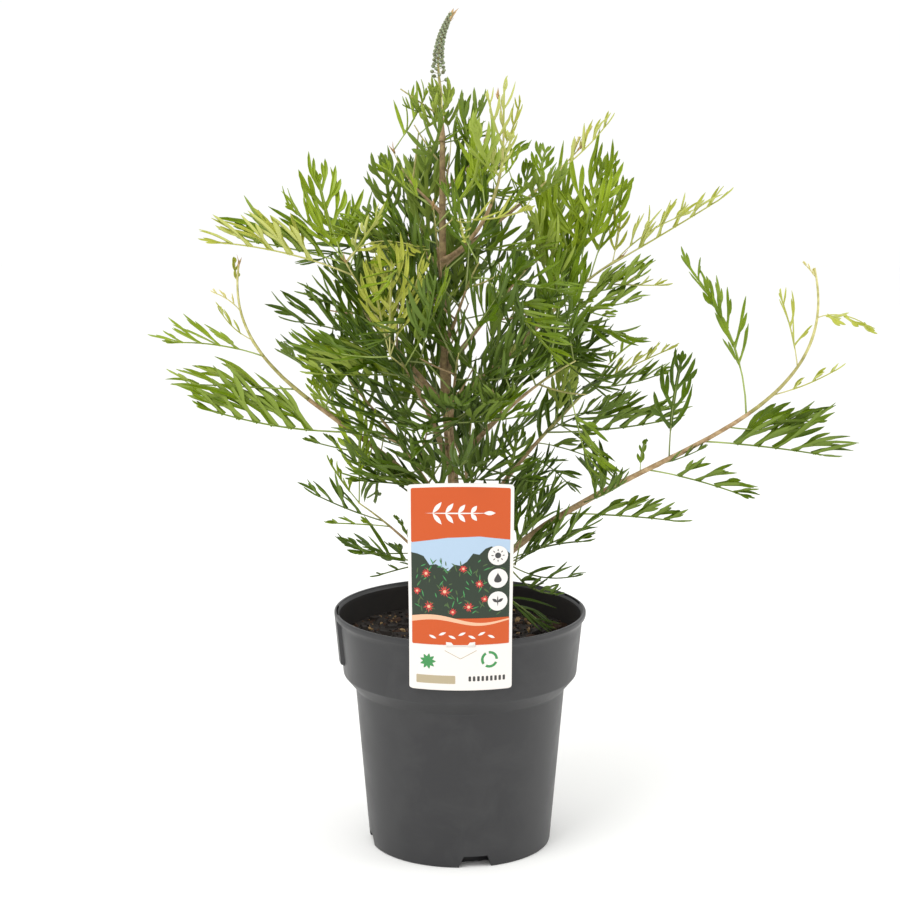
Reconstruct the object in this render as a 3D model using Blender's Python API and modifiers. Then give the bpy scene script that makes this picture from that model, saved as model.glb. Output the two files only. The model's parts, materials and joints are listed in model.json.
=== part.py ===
"""A young grevillea in a round nursery pot, with a plain plant label on the rim.

Metres, +Z up. The origin is the middle of the pot's flat underside. +X is to the right of the
shrub's front, +Y is behind it. Azimuths are in degrees from +X towards +Y, so 270 is the front.
"""
import math
import random

import bmesh
import bpy
import numpy as np
from mathutils import Vector
from mathutils.bvhtree import BVHTree

# Pot: a blow-moulded nursery pot with a deep collar
POT_HEIGHT = 0.190
RIM_RADIUS = 0.100
COLLAR_TOP_RADIUS = 0.0976
COLLAR_FOOT_RADIUS = 0.0930
COLLAR_FOOT_HEIGHT = 0.1395
BODY_TOP_RADIUS = 0.0834
BODY_TOP_HEIGHT = 0.1280
BASE_RADIUS = 0.0726
WALL = 0.0020
FLOOR_PLATE_RADIUS = 0.0575
CHANNEL_HEIGHT = 0.0100
POT_STEPS = 32
NOTCH_COUNT = 4
NOTCH_AZIMUTH = 279.6
NOTCH_FOOT_WIDTH = 0.028
NOTCH_HEAD_WIDTH = 0.019
POCKET_AZIMUTHS = (183.0, 20.0)
POCKET_SPAN = 21.0
POCKET_DEPTH = 0.0026
POCKET_FOOT = 0.1490

# Growing mix, level with the foot of the trunk
SOIL_LEVEL = 0.168
FIT_GAP = 0.0003

# Label: a thin plastic card that hooks over the rim
LABEL_WIDTH = 0.0796
LABEL_FOOT = 0.1525
LABEL_HEAD = 0.3130
LABEL_THICKNESS = 0.0009
LABEL_LEAN = math.radians(3.0)
LABEL_ARCH = 0.0016
LABEL_COLUMNS = 6
LABEL_ROWS = 5
HOOK_WIDTH = 0.022
HOOK_DEPTH = 0.0105
HOOK_CLEARANCE = 0.0023

# Trunk
TRUNK_TOP = 0.560
TRUNK_LEAN = -0.0138
TRUNK_LEAN_FROM = 0.200
TRUNK_LEAN_TO = 0.420
TRUNK_RADIUS = 0.0052
TRUNK_TOP_RADIUS = 0.0021
FLARE_RADIUS = 0.0024
FLARE_HEIGHT = 0.012
TRUNK_RINGS = 15

# Leaves: ferny blades, deeply cut into pointed lobes
LEAF_THICKNESS = 0.0014
RIB_HALF_WIDTH = 0.0013
PETIOLE_SHARE = 0.27
BLADE_END_SHARE = 0.93
LOBE_PAIRS = 4
SHORT_LEAF = 0.085
LOBE_SHARES = (0.42, 0.44, 0.38, 0.30)
LOBE_SPREAD = math.radians(44.0)
LOBE_FOLDS = (18.0, 42.0)
LEAF_LENGTH_SPREAD = 0.12
LEAF_LIFTS = (-0.15, 0.35)
LEAF_LENGTHS_TRIED = (1.0, 0.80, 0.60)
LEAF_OPENINGS_TRIED = (62.0, 46.0, 30.0)
LEAF_TURNS_TRIED = (0.0, 0.5, -0.5, 1.0, -1.0)

# Spaces: a leaf or twig stays nearer to its own shoot than to any other by this much, and clear
# of the limbs, the pot and the label
SPACE_GAP = 0.0030
LIMB_GAP = 0.0016
POT_GAP = 0.0040
LABEL_GAP = 0.0080
GOLDEN_ANGLE = math.radians(137.508)
SEED = 4711

# Flower spike in bud at the top of the leader
SPIKE_HEIGHT = 0.063
SPIKE_LEAN = 0.010
BUD_COUNT = 17
BUD_RADIUS = 0.0021

# Main shoots. Each leaves the trunk at a height, heads for an azimuth, and ends reach away and
# rise higher. The slopes are its angles above the level as it leaves and as it arrives. Of its
# eight stretches the first few are the bare bough, and the rest are the stem of its mass.
STRETCHES = 8
STEM_TIP_SHARE = 0.36
SHOOTS = {
    # name: height, azimuth, reach, rise, leaving, arriving, bare stretches, radius, leaves, length
    "right_low": (0.184, 349.5, 0.271, 0.284, 65, 104, 2, 0.0031, 0, 0.0),
    "right_mid": (0.356, 5.0, 0.138, 0.114, 30, 30, 2, 0.0029, 0, 0.0),
    "right_front": (0.306, 330.0, 0.108, 0.092, 45, 30, 2, 0.0024, 5, 0.096),
    "right_back": (0.223, 26.0, 0.131, 0.150, 69, 42, 3, 0.0026, 0, 0.0),
    "right_rim": (0.216, 316.0, 0.060, 0.020, 30, 8, 0, 0.0017, 4, 0.076),
    "right_high": (0.468, 312.0, 0.062, 0.128, 20, 112, 1, 0.0021, 4, 0.062),
    "right_top": (0.464, 8.0, 0.108, 0.090, 38, 46, 2, 0.0019, 5, 0.074),
    "left_low": (0.240, 190.5, 0.170, 0.230, 70, 100, 3, 0.0027, 0, 0.0),
    "left_mid": (0.293, 208.0, 0.093, 0.180, 73, 60, 2, 0.0025, 0, 0.0),
    "left_rim": (0.205, 206.0, 0.088, 0.080, 42, 36, 2, 0.0020, 2, 0.080),
    "left_high": (0.462, 168.0, 0.052, 0.042, 36, 22, 0, 0.0016, 4, 0.076),
    "left_back": (0.352, 150.0, 0.104, 0.094, 44, 40, 2, 0.0023, 4, 0.094),
    "front_left": (0.345, 240.0, 0.086, 0.060, 40, 28, 1, 0.0020, 4, 0.084),
    "front_right": (0.398, 292.0, 0.072, 0.076, 42, 38, 1, 0.0019, 4, 0.088),
    "front_mid": (0.330, 276.0, 0.070, 0.076, 44, 34, 1, 0.0021, 5, 0.090),
    "front_top": (0.448, 262.0, 0.048, 0.066, 44, 56, 0, 0.0016, 4, 0.070),
    "front_low": (0.268, 262.0, 0.062, 0.098, 58, 48, 1, 0.0022, 5, 0.084),
    "back_low": (0.222, 84.0, 0.104, 0.112, 50, 38, 2, 0.0025, 2, 0.094),
    "back_left_low": (0.254, 140.0, 0.108, 0.102, 46, 36, 2, 0.0025, 3, 0.094),
    "back_mid": (0.330, 90.0, 0.110, 0.098, 46, 38, 2, 0.0024, 3, 0.094),
    "back_right": (0.380, 42.0, 0.112, 0.092, 42, 36, 2, 0.0024, 5, 0.094),
    "back_high": (0.430, 108.0, 0.078, 0.080, 46, 48, 1, 0.0019, 3, 0.080),
    "top_left": (0.504, 200.0, 0.040, 0.050, 44, 70, 0, 0.0015, 5, 0.062),
    "top_back": (0.512, 80.0, 0.038, 0.046, 48, 70, 0, 0.0015, 5, 0.060),
    "top_right": (0.520, 348.0, 0.034, 0.042, 48, 70, 0, 0.0014, 4, 0.060),
}
LEADER = "leader_tip"
LEADER_RISE = 0.034
LEADER_LEAVES = 5
LEADER_LEAF_LENGTH = 0.052

# How far the crown reaches from the trunk at each height: pairs of height and radius
CROWN_OUTLINE = ((0.20, 0.112), (0.26, 0.130), (0.33, 0.160), (0.40, 0.176), (0.47, 0.168),
                 (0.52, 0.124), (0.56, 0.080), (0.595, 0.052), (0.605, 0.032), (0.612, 0.0))

# Side twigs, as shares of the shoot where they stand, and their size
TWIG_SHARES = (0.42, 0.68)
TWIG_LENGTH = 0.036
TWIG_OPENING = 50.0
TWIG_RADIUS = 0.0013
TWIG_LEAF_SHARE = 0.85
TWIG_TURNS_TRIED = 8
MIN_SHOOT_FOR_TWIGS = 0.075

# The boughs that stand out from the crown carry these leaves: share of the shoot, azimuth,
# slope above the level, length, lift of the tip, and fold of the lobes.
PLANNED_LEAVES = {
    "right_low": (
        (0.270, 348, 1, 0.098, -0.06, 56), (0.350, 123, 52, 0.048, 0.20, 40),
        (0.433, 13, -12, 0.091, -0.08, 56), (0.467, 66, 79, 0.088, 0.10, 25),
        (0.533, 344, 0, 0.111, -0.04, 56), (0.600, 19, 6, 0.092, 0.10, 56),
        (0.650, 158, 67, 0.133, 0.05, 25), (0.700, 339, 23, 0.060, 0.05, 50),
        (0.783, 105, 73, 0.071, 0.10, 30), (0.883, 0, 6, 0.046, -0.10, 45),
        (0.970, 190, 50, 0.026, 0.10, 40), (0.560, 84, 18, 0.074, 0.10, 40),
    ),
    "left_low": (
        (0.417, 189, 6, 0.131, 0.10, 56), (0.583, 169, 0, 0.105, 0.06, 56),
        (0.683, 193, 14, 0.092, -0.20, 56), (0.833, 158, 41, 0.038, 0.10, 40),
        (0.500, 80, 22, 0.078, 0.10, 40), (0.640, 268, 8, 0.070, 0.15, 40),
        (0.960, 200, 50, 0.028, 0.10, 40), (0.740, 60, 20, 0.048, 0.10, 40),
    ),
    "left_mid": (
        (0.517, 174, 20, 0.109, 0.20, 52), (0.917, 190, 16, 0.118, -0.02, 52),
        (0.880, 129, 57, 0.096, 0.10, 30), (0.980, 342, 30, 0.078, -0.70, -60),
        (0.640, 212, -3, 0.075, 0.15, 45), (0.350, 196, 10, 0.070, 0.15, 40),
    ),
    "right_mid": (
        (0.983, 7, 28, 0.101, 0.05, 45), (0.960, 331, 50, 0.063, 0.10, 35),
        (0.750, 236, 66, 0.098, 0.10, 30), (0.883, 69, 75, 0.084, 0.10, 30),
        (0.667, 340, 5, 0.087, 0.10, 50), (0.567, 21, -6, 0.083, -0.10, 50),
        (0.467, 340, -33, 0.071, -0.10, 45), (0.400, 60, 30, 0.070, 0.10, 40),
        (0.820, 300, 12, 0.070, 0.05, 45),
    ),
    "right_back": (
        (0.700, 6, 0, 0.089, 0.02, 56), (0.917, 23, 16, 0.080, 0.05, 45),
        (0.967, 50, 62, 0.065, 0.10, 35), (0.617, 0, -48, 0.064, -0.05, 40),
        (0.540, 60, 20, 0.080, 0.10, 40), (0.800, 90, 24, 0.080, 0.10, 40),
        (0.460, 330, 5, 0.066, 0.05, 45),
    ),
}


# Collections

def clear_scene():
    for item in list(bpy.data.objects):
        bpy.data.objects.remove(item, do_unlink=True)


def new_collection(name):
    collection = bpy.data.collections.new(name)
    bpy.context.scene.collection.children.link(collection)
    return collection


clear_scene()
PLANT = new_collection("potted_grevillea")
HELPERS = new_collection("helpers")


def add_object(name, mesh, material=None, collection=PLANT):
    item = bpy.data.objects.new(name, mesh)
    collection.objects.link(item)
    if material:
        mesh.materials.append(material)
    return item


def hide_helper(item):
    item.hide_render = True
    item.display_type = "WIRE"


def plain_material(name, colour, roughness):
    material = bpy.data.materials.new(name)
    material.use_nodes = True
    shader = material.node_tree.nodes["Principled BSDF"]
    shader.inputs["Base Color"].default_value = (*colour, 1.0)
    shader.inputs["Roughness"].default_value = roughness
    shader.inputs["Metallic"].default_value = 0.0
    return material


POT_PLASTIC = plain_material("pot_plastic", (0.060, 0.060, 0.063), 0.50)
GROWING_MIX = plain_material("growing_mix", (0.035, 0.025, 0.018), 0.95)
LABEL_CARD = plain_material("label_card", (0.86, 0.86, 0.84), 0.40)
BARK = plain_material("bark", (0.33, 0.21, 0.14), 0.80)
FOLIAGE = plain_material("foliage", (0.085, 0.190, 0.035), 0.55)


# Modelling tools

def modify(item, kind, **settings):
    modifier = item.modifiers.new(kind.title(), kind)
    for key, value in settings.items():
        setattr(modifier, key, value)
    return modifier


def apply_modifiers(item):
    """Swap an object's mesh for the one that its modifiers make."""
    depsgraph = bpy.context.evaluated_depsgraph_get()
    made = bpy.data.meshes.new_from_object(item.evaluated_get(depsgraph))
    item.modifiers.clear()
    item.data = made


def shade_round(item, angle=40.0):
    item.data.shade_smooth()
    item.data.set_sharp_from_angle(angle=math.radians(angle))


def turned(name, profile, material, steps=POT_STEPS, collection=PLANT):
    """Turn a profile of (radius, height) pairs about Z."""
    mesh = bpy.data.meshes.new(name)
    points = [(radius, 0.0, height) for radius, height in profile]
    edges = [(index, index + 1) for index in range(len(points) - 1)]
    mesh.from_pydata(points, edges, [])
    item = add_object(name, mesh, material, collection)
    modify(item, "SCREW", steps=steps, render_steps=steps, use_merge_vertices=True,
           merge_threshold=0.00005, use_smooth_shade=True)
    apply_modifiers(item)
    return item


def cut_away(item, cutter):
    hide_helper(cutter)
    modify(item, "BOOLEAN", operation="DIFFERENCE", object=cutter, solver="EXACT")
    apply_modifiers(item)
    bpy.data.objects.remove(cutter, do_unlink=True)


def join_all(item, pieces, solver="EXACT"):
    """Fuse every object of a collection to the item, then remove the collection."""
    modify(item, "BOOLEAN", operation="UNION", operand_type="COLLECTION", collection=pieces,
           solver=solver)
    apply_modifiers(item)
    for piece in list(pieces.objects):
        bpy.data.objects.remove(piece, do_unlink=True)
    bpy.data.collections.remove(pieces)


def prism(name, outline, depth, collection=HELPERS):
    """A closed prism: an outline of (x, z) points, extruded both ways along Y."""
    curve = bpy.data.curves.new(name, "CURVE")
    curve.dimensions = "2D"
    curve.fill_mode = "BOTH"
    curve.extrude = depth / 2
    spline = curve.splines.new("POLY")
    spline.points.add(len(outline) - 1)
    for point, (across, up) in zip(spline.points, outline):
        point.co = (across, up, 0.0, 1.0)
    spline.use_cyclic_u = True
    item = bpy.data.objects.new(name, curve)
    item.rotation_euler = (math.radians(90.0), 0.0, 0.0)
    collection.objects.link(item)
    return curve_to_mesh(item, collection)


def curve_to_mesh(item, collection, material=None):
    """Turn a curve object into a mesh object whose caps are welded on."""
    bpy.context.view_layer.update()
    depsgraph = bpy.context.evaluated_depsgraph_get()
    mesh = bpy.data.meshes.new_from_object(item.evaluated_get(depsgraph))
    bm = bmesh.new()
    bm.from_mesh(mesh)
    bmesh.ops.remove_doubles(bm, verts=bm.verts, dist=0.00001)
    bmesh.ops.recalc_face_normals(bm, faces=bm.faces)
    bm.to_mesh(mesh)
    bm.free()
    name = item.name
    place = item.matrix_world.copy()
    old_curve = item.data
    bpy.data.objects.remove(item, do_unlink=True)
    bpy.data.curves.remove(old_curve)
    made = add_object(name, mesh, material, collection)
    made.matrix_world = place
    return made


def tube(name, points, radii, roundness, material=BARK, collection=PLANT):
    """A tapering limb: a curve with a bevel of 4 + 2 * roundness sides and filled caps."""
    curve = bpy.data.curves.new(name, "CURVE")
    curve.dimensions = "3D"
    curve.bevel_depth = 1.0
    curve.bevel_resolution = roundness
    curve.use_fill_caps = True
    spline = curve.splines.new("POLY")
    spline.points.add(len(points) - 1)
    for point, place, radius in zip(spline.points, points, radii):
        point.co = (*place, 1.0)
        point.radius = radius
    item = bpy.data.objects.new(name, curve)
    collection.objects.link(item)
    return curve_to_mesh(item, collection, material)


def direction(azimuth, slope):
    """The unit vector for an azimuth and a slope above the level, both in degrees."""
    turn = math.radians(azimuth)
    lift = math.radians(slope)
    return Vector((math.cos(lift) * math.cos(turn), math.cos(lift) * math.sin(turn),
                   math.sin(lift)))


def bowed(start, end, leaving, arriving, count):
    """Points of a cubic curve that leaves and arrives along two unit vectors."""
    pull = 0.38 * (end - start).length
    first = start + leaving * pull
    second = end - arriving * pull
    points = []
    for index in range(count):
        t = index / (count - 1)
        s = 1.0 - t
        points.append(s * s * s * start + 3 * s * s * t * first + 3 * s * t * t * second
                      + t * t * t * end)
    return points


def smooth_share(value, low, high):
    share = min(max((value - low) / (high - low), 0.0), 1.0)
    return share * share * (3.0 - 2.0 * share)


# Pot

def wall_radius(height):
    """The body's outer radius at a height below the collar."""
    return BASE_RADIUS + (BODY_TOP_RADIUS - BASE_RADIUS) * height / BODY_TOP_HEIGHT


def pot_inside():
    """The inside of the pot, from the middle of the floor up to the rim."""
    channel_top = CHANNEL_HEIGHT + WALL
    return [(0.0, WALL),
            (FLOOR_PLATE_RADIUS, WALL),
            (FLOOR_PLATE_RADIUS + 0.0022, channel_top),
            (wall_radius(channel_top) - WALL, channel_top),
            (BODY_TOP_RADIUS - WALL, BODY_TOP_HEIGHT - 0.001),
            (COLLAR_FOOT_RADIUS - WALL - 0.0008, COLLAR_FOOT_HEIGHT + 0.0008),
            (COLLAR_TOP_RADIUS - WALL, POT_HEIGHT - 0.004)]


def pot_outside():
    """The rim, the outer side from top to bottom, and the underside to its middle."""
    return [(RIM_RADIUS - 0.0022, POT_HEIGHT),
            (RIM_RADIUS - 0.0005, POT_HEIGHT),
            (RIM_RADIUS, POT_HEIGHT - 0.0018),
            (RIM_RADIUS - 0.0006, POT_HEIGHT - 0.0040),
            (COLLAR_TOP_RADIUS, POT_HEIGHT - 0.0068),
            (COLLAR_FOOT_RADIUS, COLLAR_FOOT_HEIGHT + 0.0030),
            (COLLAR_FOOT_RADIUS - 0.0012, COLLAR_FOOT_HEIGHT),
            (BODY_TOP_RADIUS, BODY_TOP_HEIGHT + 0.0010),
            (wall_radius(0.005), 0.005),
            (BASE_RADIUS - 0.0010, 0.0),
            (BASE_RADIUS - 0.0030, 0.0),
            (BASE_RADIUS - 0.0026, CHANNEL_HEIGHT),
            (FLOOR_PLATE_RADIUS + 0.0040, CHANNEL_HEIGHT),
            (FLOOR_PLATE_RADIUS + 0.0018, 0.0),
            (0.0, 0.0)]


def pocket(azimuth):
    """One raised label pocket on the collar: a slice of a turned ring."""
    wall_foot = COLLAR_FOOT_RADIUS + (POCKET_FOOT - COLLAR_FOOT_HEIGHT) * (
        (COLLAR_TOP_RADIUS - COLLAR_FOOT_RADIUS) / (POT_HEIGHT - COLLAR_FOOT_HEIGHT))
    head = POT_HEIGHT - 0.0030
    profile = [(COLLAR_TOP_RADIUS - 0.0010, head),
               (RIM_RADIUS - 0.0002, head),
               (wall_foot + POCKET_DEPTH, POCKET_FOOT + 0.0010),
               (wall_foot + POCKET_DEPTH - 0.0010, POCKET_FOOT),
               (wall_foot - 0.0010, POCKET_FOOT)]
    steps = 4
    bm = bmesh.new()
    rings = []
    for index in range(steps + 1):
        turn = math.radians(azimuth + POCKET_SPAN * (index / steps - 0.5))
        rings.append([bm.verts.new((radius * math.cos(turn), radius * math.sin(turn), height))
                      for radius, height in profile])
    for ring, following in zip(rings, rings[1:]):
        for corner in range(len(profile)):
            after = (corner + 1) % len(profile)
            bm.faces.new((ring[corner], following[corner], following[after], ring[after]))
    bm.faces.new(rings[0])
    bm.faces.new(list(reversed(rings[-1])))
    bmesh.ops.recalc_face_normals(bm, faces=bm.faces)
    mesh = bpy.data.meshes.new("pocket")
    bm.to_mesh(mesh)
    bm.free()
    return mesh


def build_pot():
    pot = turned("pot", pot_inside() + pot_outside(), POT_PLASTIC)
    fittings = new_collection("pot_fittings")
    for azimuth in POCKET_AZIMUTHS:
        add_object("pocket", pocket(azimuth), None, fittings)
    join_all(pot, fittings)
    for index in range(NOTCH_COUNT):
        foot = NOTCH_FOOT_WIDTH / 2
        head = NOTCH_HEAD_WIDTH / 2
        low = -0.002
        cutter = prism("notch", [(-foot, low), (foot, low), (foot, 0.0),
                                 (head, CHANNEL_HEIGHT - 0.0002),
                                 (-head, CHANNEL_HEIGHT - 0.0002), (-foot, 0.0)], 0.010)
        turn = math.radians(NOTCH_AZIMUTH + index * 360.0 / NOTCH_COUNT)
        cutter.location = (BASE_RADIUS * math.cos(turn), BASE_RADIUS * math.sin(turn), 0.0)
        cutter.rotation_euler = (math.radians(90.0), 0.0, turn + math.radians(90.0))
        bpy.context.view_layer.update()
        cut_away(pot, cutter)
    shade_round(pot)


def build_soil():
    inside = [(max(radius - FIT_GAP, 0.0), height + FIT_GAP) for radius, height in pot_inside()]
    below = [pair for pair in inside if pair[1] < SOIL_LEVEL]
    foot, head = inside[-2], inside[-1]
    share = (SOIL_LEVEL - foot[1]) / (head[1] - foot[1])
    edge = (foot[0] + (head[0] - foot[0]) * share, SOIL_LEVEL)
    profile = [(0.0, SOIL_LEVEL), edge] + list(reversed(below))
    turned("growing_mix", profile, GROWING_MIX)


# Label

def label_place(across, up):
    """Where a point of the flat card goes: bowed round the rim, flatter and leaning above."""
    lip = RIM_RADIUS + FIT_GAP + LABEL_THICKNESS / 2 + 0.0001
    bow_radius = lip / (1.0 - 0.75 * smooth_share(up, POT_HEIGHT, LABEL_HEAD))
    turn = across / bow_radius
    side = bow_radius * math.sin(turn)
    back = bow_radius * (1.0 - math.cos(turn))
    lean = (up - POT_HEIGHT) * math.tan(LABEL_LEAN)
    arch = 0.0
    if up > LABEL_HEAD - 0.001:
        arch = LABEL_ARCH * (1.0 - (2.0 * across / LABEL_WIDTH) ** 2)
    return (side, -lip + back - lean, up + arch)


def build_label():
    bm = bmesh.new()
    bmesh.ops.create_grid(bm, x_segments=LABEL_COLUMNS, y_segments=LABEL_ROWS, size=0.5)
    for vert in bm.verts:
        across = vert.co.x * LABEL_WIDTH
        up = LABEL_FOOT + (vert.co.y + 0.5) * (LABEL_HEAD - LABEL_FOOT)
        vert.co = label_place(across, up)
    mesh = bpy.data.meshes.new("label")
    bm.to_mesh(mesh)
    bm.free()
    label = add_object("label", mesh, LABEL_CARD)
    modify(label, "SOLIDIFY", thickness=LABEL_THICKNESS, offset=0.0)
    apply_modifiers(label)
    hook_parts = new_collection("label_hook")
    bridge = POT_HEIGHT + FIT_GAP
    front = -(RIM_RADIUS + FIT_GAP + LABEL_THICKNESS * 0.6)
    inner_face = -(COLLAR_TOP_RADIUS - WALL - HOOK_CLEARANCE)
    outline = [(front, bridge), (front, bridge + 0.0011), (inner_face + 0.0010, bridge + 0.0011),
               (inner_face + 0.0010, bridge - HOOK_DEPTH), (inner_face, bridge - HOOK_DEPTH),
               (inner_face, bridge)]
    hook = prism("hook", outline, HOOK_WIDTH, hook_parts)
    hook.rotation_euler = (math.radians(90.0), 0.0, math.radians(90.0))
    bpy.context.view_layer.update()
    join_all(label, hook_parts)


# Trunk and boughs

def trunk_place(height):
    return Vector((TRUNK_LEAN * smooth_share(height, TRUNK_LEAN_FROM, TRUNK_LEAN_TO), 0.0, height))


def trunk_radius(height):
    share = (height - SOIL_LEVEL) / (TRUNK_TOP - SOIL_LEVEL)
    flare = FLARE_RADIUS * math.exp(-(height - SOIL_LEVEL) / FLARE_HEIGHT)
    return TRUNK_RADIUS + (TRUNK_TOP_RADIUS - TRUNK_RADIUS) * share + flare


def trunk_rings(extra):
    """Centres and radii up the trunk, closer together in the flare at its foot."""
    low = SOIL_LEVEL + FIT_GAP
    heights = [low + (TRUNK_TOP - low) * (index / (TRUNK_RINGS - 1)) ** 1.35
               for index in range(TRUNK_RINGS)]
    return [trunk_place(height) for height in heights], [trunk_radius(height) + extra
                                                         for height in heights]


def build_trunk():
    points, radii = trunk_rings(0.0)
    trunk = tube("trunk", points, radii, 4)
    shade_round(trunk)


def clear_of_trunk(limb):
    """Hollow the root end of a limb to the trunk's surface, 0.3 mm clear of it."""
    points, radii = trunk_rings(FIT_GAP)
    cut_away(limb, tube("trunk_cutter", points, radii, 4, None, HELPERS))


class Shoot:
    """A main shoot: its bough, then the stem of its mass, along one curve of equal stretches."""

    def __init__(self, name, sizes):
        height, azimuth, reach, rise, leaving, arriving, bare, radius, leaves, length = sizes
        self.name = name
        self.bare = bare / STRETCHES
        self.radius = radius
        self.leaves = leaves
        self.leaf_length = length
        start = trunk_place(height)
        end = start + direction(azimuth, 0.0) * reach + Vector((0.0, 0.0, rise))
        self.line = bowed(start, end, direction(azimuth, leaving), direction(azimuth, arriving),
                          STRETCHES + 1)
        self.span = (end - start).length

    def place(self, share):
        spot = min(max(share, 0.0), 1.0) * STRETCHES
        index = min(int(spot), STRETCHES - 1)
        return self.line[index].lerp(self.line[index + 1], spot - index)

    def heading(self, share):
        share = min(max(share, 0.03), 0.97)
        return (self.place(share + 0.03) - self.place(share - 0.03)).normalized()

    def radius_at(self, share):
        return self.radius * (1.0 + (STEM_TIP_SHARE - 1.0) * share)

    def limb(self, name, low, high, roundness, material):
        """The tube along part of the shoot, with a ring at each of its stations."""
        shares = [low] + [index / STRETCHES for index in range(STRETCHES + 1)
                          if low + 0.01 < index / STRETCHES < high - 0.01] + [high]
        return tube(name, [self.place(share) for share in shares],
                    [self.radius_at(share) for share in shares], roundness, material)


def all_shoots():
    shoots = [Shoot(name, sizes) for name, sizes in SHOOTS.items()]
    leader = (TRUNK_TOP, 180.0, 0.0006, LEADER_RISE, 89, 89, 0, TRUNK_TOP_RADIUS, LEADER_LEAVES,
              LEADER_LEAF_LENGTH)
    return shoots + [Shoot(LEADER, leader)]


def build_bough(shoot):
    bough = shoot.limb("bough_" + shoot.name, 0.0, shoot.bare, 2, BARK)
    clear_of_trunk(bough)
    shade_round(bough)


# Leaves

class Leaf:
    """One leaf: a rib from its root along its heading, and lobes that stand off it in pairs.

    The rib lifts or droops towards its tip. The lobes are angled forward and folded up towards
    the side that the leaf faces. A short leaf has one pair fewer.
    """

    def __init__(self, root, heading, facing, length, lift, fold):
        self.root = root
        self.middle = root + heading * length * 0.5
        end_heading = (heading + Vector((0.0, 0.0, lift))).normalized()
        self.tip = root + (heading + end_heading).normalized() * length
        pairs = LOBE_PAIRS if length > SHORT_LEAF else LOBE_PAIRS - 1
        stations = [0.0] + [PETIOLE_SHARE + (BLADE_END_SHARE - PETIOLE_SHARE) * index / pairs
                            for index in range(pairs + 1)]
        self.left = []
        self.right = []
        self.lobes = []
        for index, share in enumerate(stations):
            along = (self.on_rib(share + 0.02) - self.on_rib(share - 0.02)).normalized()
            up = (facing - along * facing.dot(along)).normalized()
            side = along.cross(up)
            half = RIB_HALF_WIDTH * (0.7 if index == 0 else 1.0 - 0.45 * share)
            self.left.append(self.on_rib(share) - side * half)
            self.right.append(self.on_rib(share) + side * half)
            if 0 < index <= pairs:
                foot = self.on_rib((share + stations[index + 1]) / 2)
                reach = length * LOBE_SHARES[index - 1]
                for sign in (-1.0, 1.0):
                    outward = side * sign * math.cos(fold) + up * math.sin(fold)
                    self.lobes.append(foot + (along * math.cos(LOBE_SPREAD)
                                              + outward * math.sin(LOBE_SPREAD)) * reach)

    def on_rib(self, share):
        rest = 1.0 - share
        return (rest * rest * self.root + 2.0 * share * rest * self.middle
                + share * share * self.tip)

    def surface(self):
        """The open, folded surface, as points and faces."""
        points = self.left + self.right + self.lobes + [self.tip]
        count = len(self.left)
        faces = []
        for index in range(count - 1):
            faces.append((index, index + 1, count + index + 1, count + index))
            if index > 0:
                lobe = 2 * count + 2 * (index - 1)
                faces.append((index + 1, index, lobe))
                faces.append((count + index, count + index + 1, lobe + 1))
        faces.append((count - 1, len(points) - 1, 2 * count - 1))
        return [tuple(point) for point in points], faces

    def samples(self):
        """Points that have to keep to the mass's space: along the rib and along each lobe."""
        ribs = [(a + b) / 2 for a, b in zip(self.left, self.right)]
        points = ribs[1:] + self.lobes + [self.tip, ribs[0].lerp(ribs[1], 0.6)]
        for index, lobe in enumerate(self.lobes):
            foot = ribs[1 + index // 2]
            points += [foot.lerp(lobe, 0.35), foot.lerp(lobe, 0.7)]
        return np.array([tuple(point) for point in points])

    def build(self, collection):
        points, faces = self.surface()
        mesh = bpy.data.meshes.new("leaf")
        mesh.from_pydata(points, [], faces)
        leaf = add_object("leaf", mesh, None, collection)
        modify(leaf, "SOLIDIFY", thickness=LEAF_THICKNESS, offset=0.0)
        apply_modifiers(leaf)


def facing_of(heading, stem_heading):
    """The side a leaf faces: mostly the sky, and partly the tip of its stem."""
    up = Vector((0.0, 0.0, 1.0))
    to_sky = up - heading * heading.dot(up)
    to_tip = stem_heading - heading * heading.dot(stem_heading)
    facing = to_sky + to_tip * 0.6
    if facing.length < 0.05:
        facing = heading.orthogonal()
    return facing.normalized()


def leaf_heading(stem_heading, turn, opening):
    """A heading that opens from a stem's own, at a turn about it, where 0 is nearest to up."""
    up = Vector((0.0, 0.0, 1.0))
    first = up - stem_heading * stem_heading.dot(up)
    if first.length < 0.05:
        first = Vector((1.0, 0.0, 0.0)) - stem_heading * stem_heading.x
    first.normalize()
    second = stem_heading.cross(first)
    across = first * math.cos(turn) + second * math.sin(turn)
    angle = math.radians(opening)
    return stem_heading * math.cos(angle) + across * math.sin(angle)


def planned_leaf(shoot, sizes):
    share, azimuth, slope, length, lift, fold = sizes
    heading = direction(azimuth, slope)
    return Leaf(shoot.place(share), heading, facing_of(heading, shoot.heading(share)), length,
                lift, math.radians(fold))


# Spaces

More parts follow.
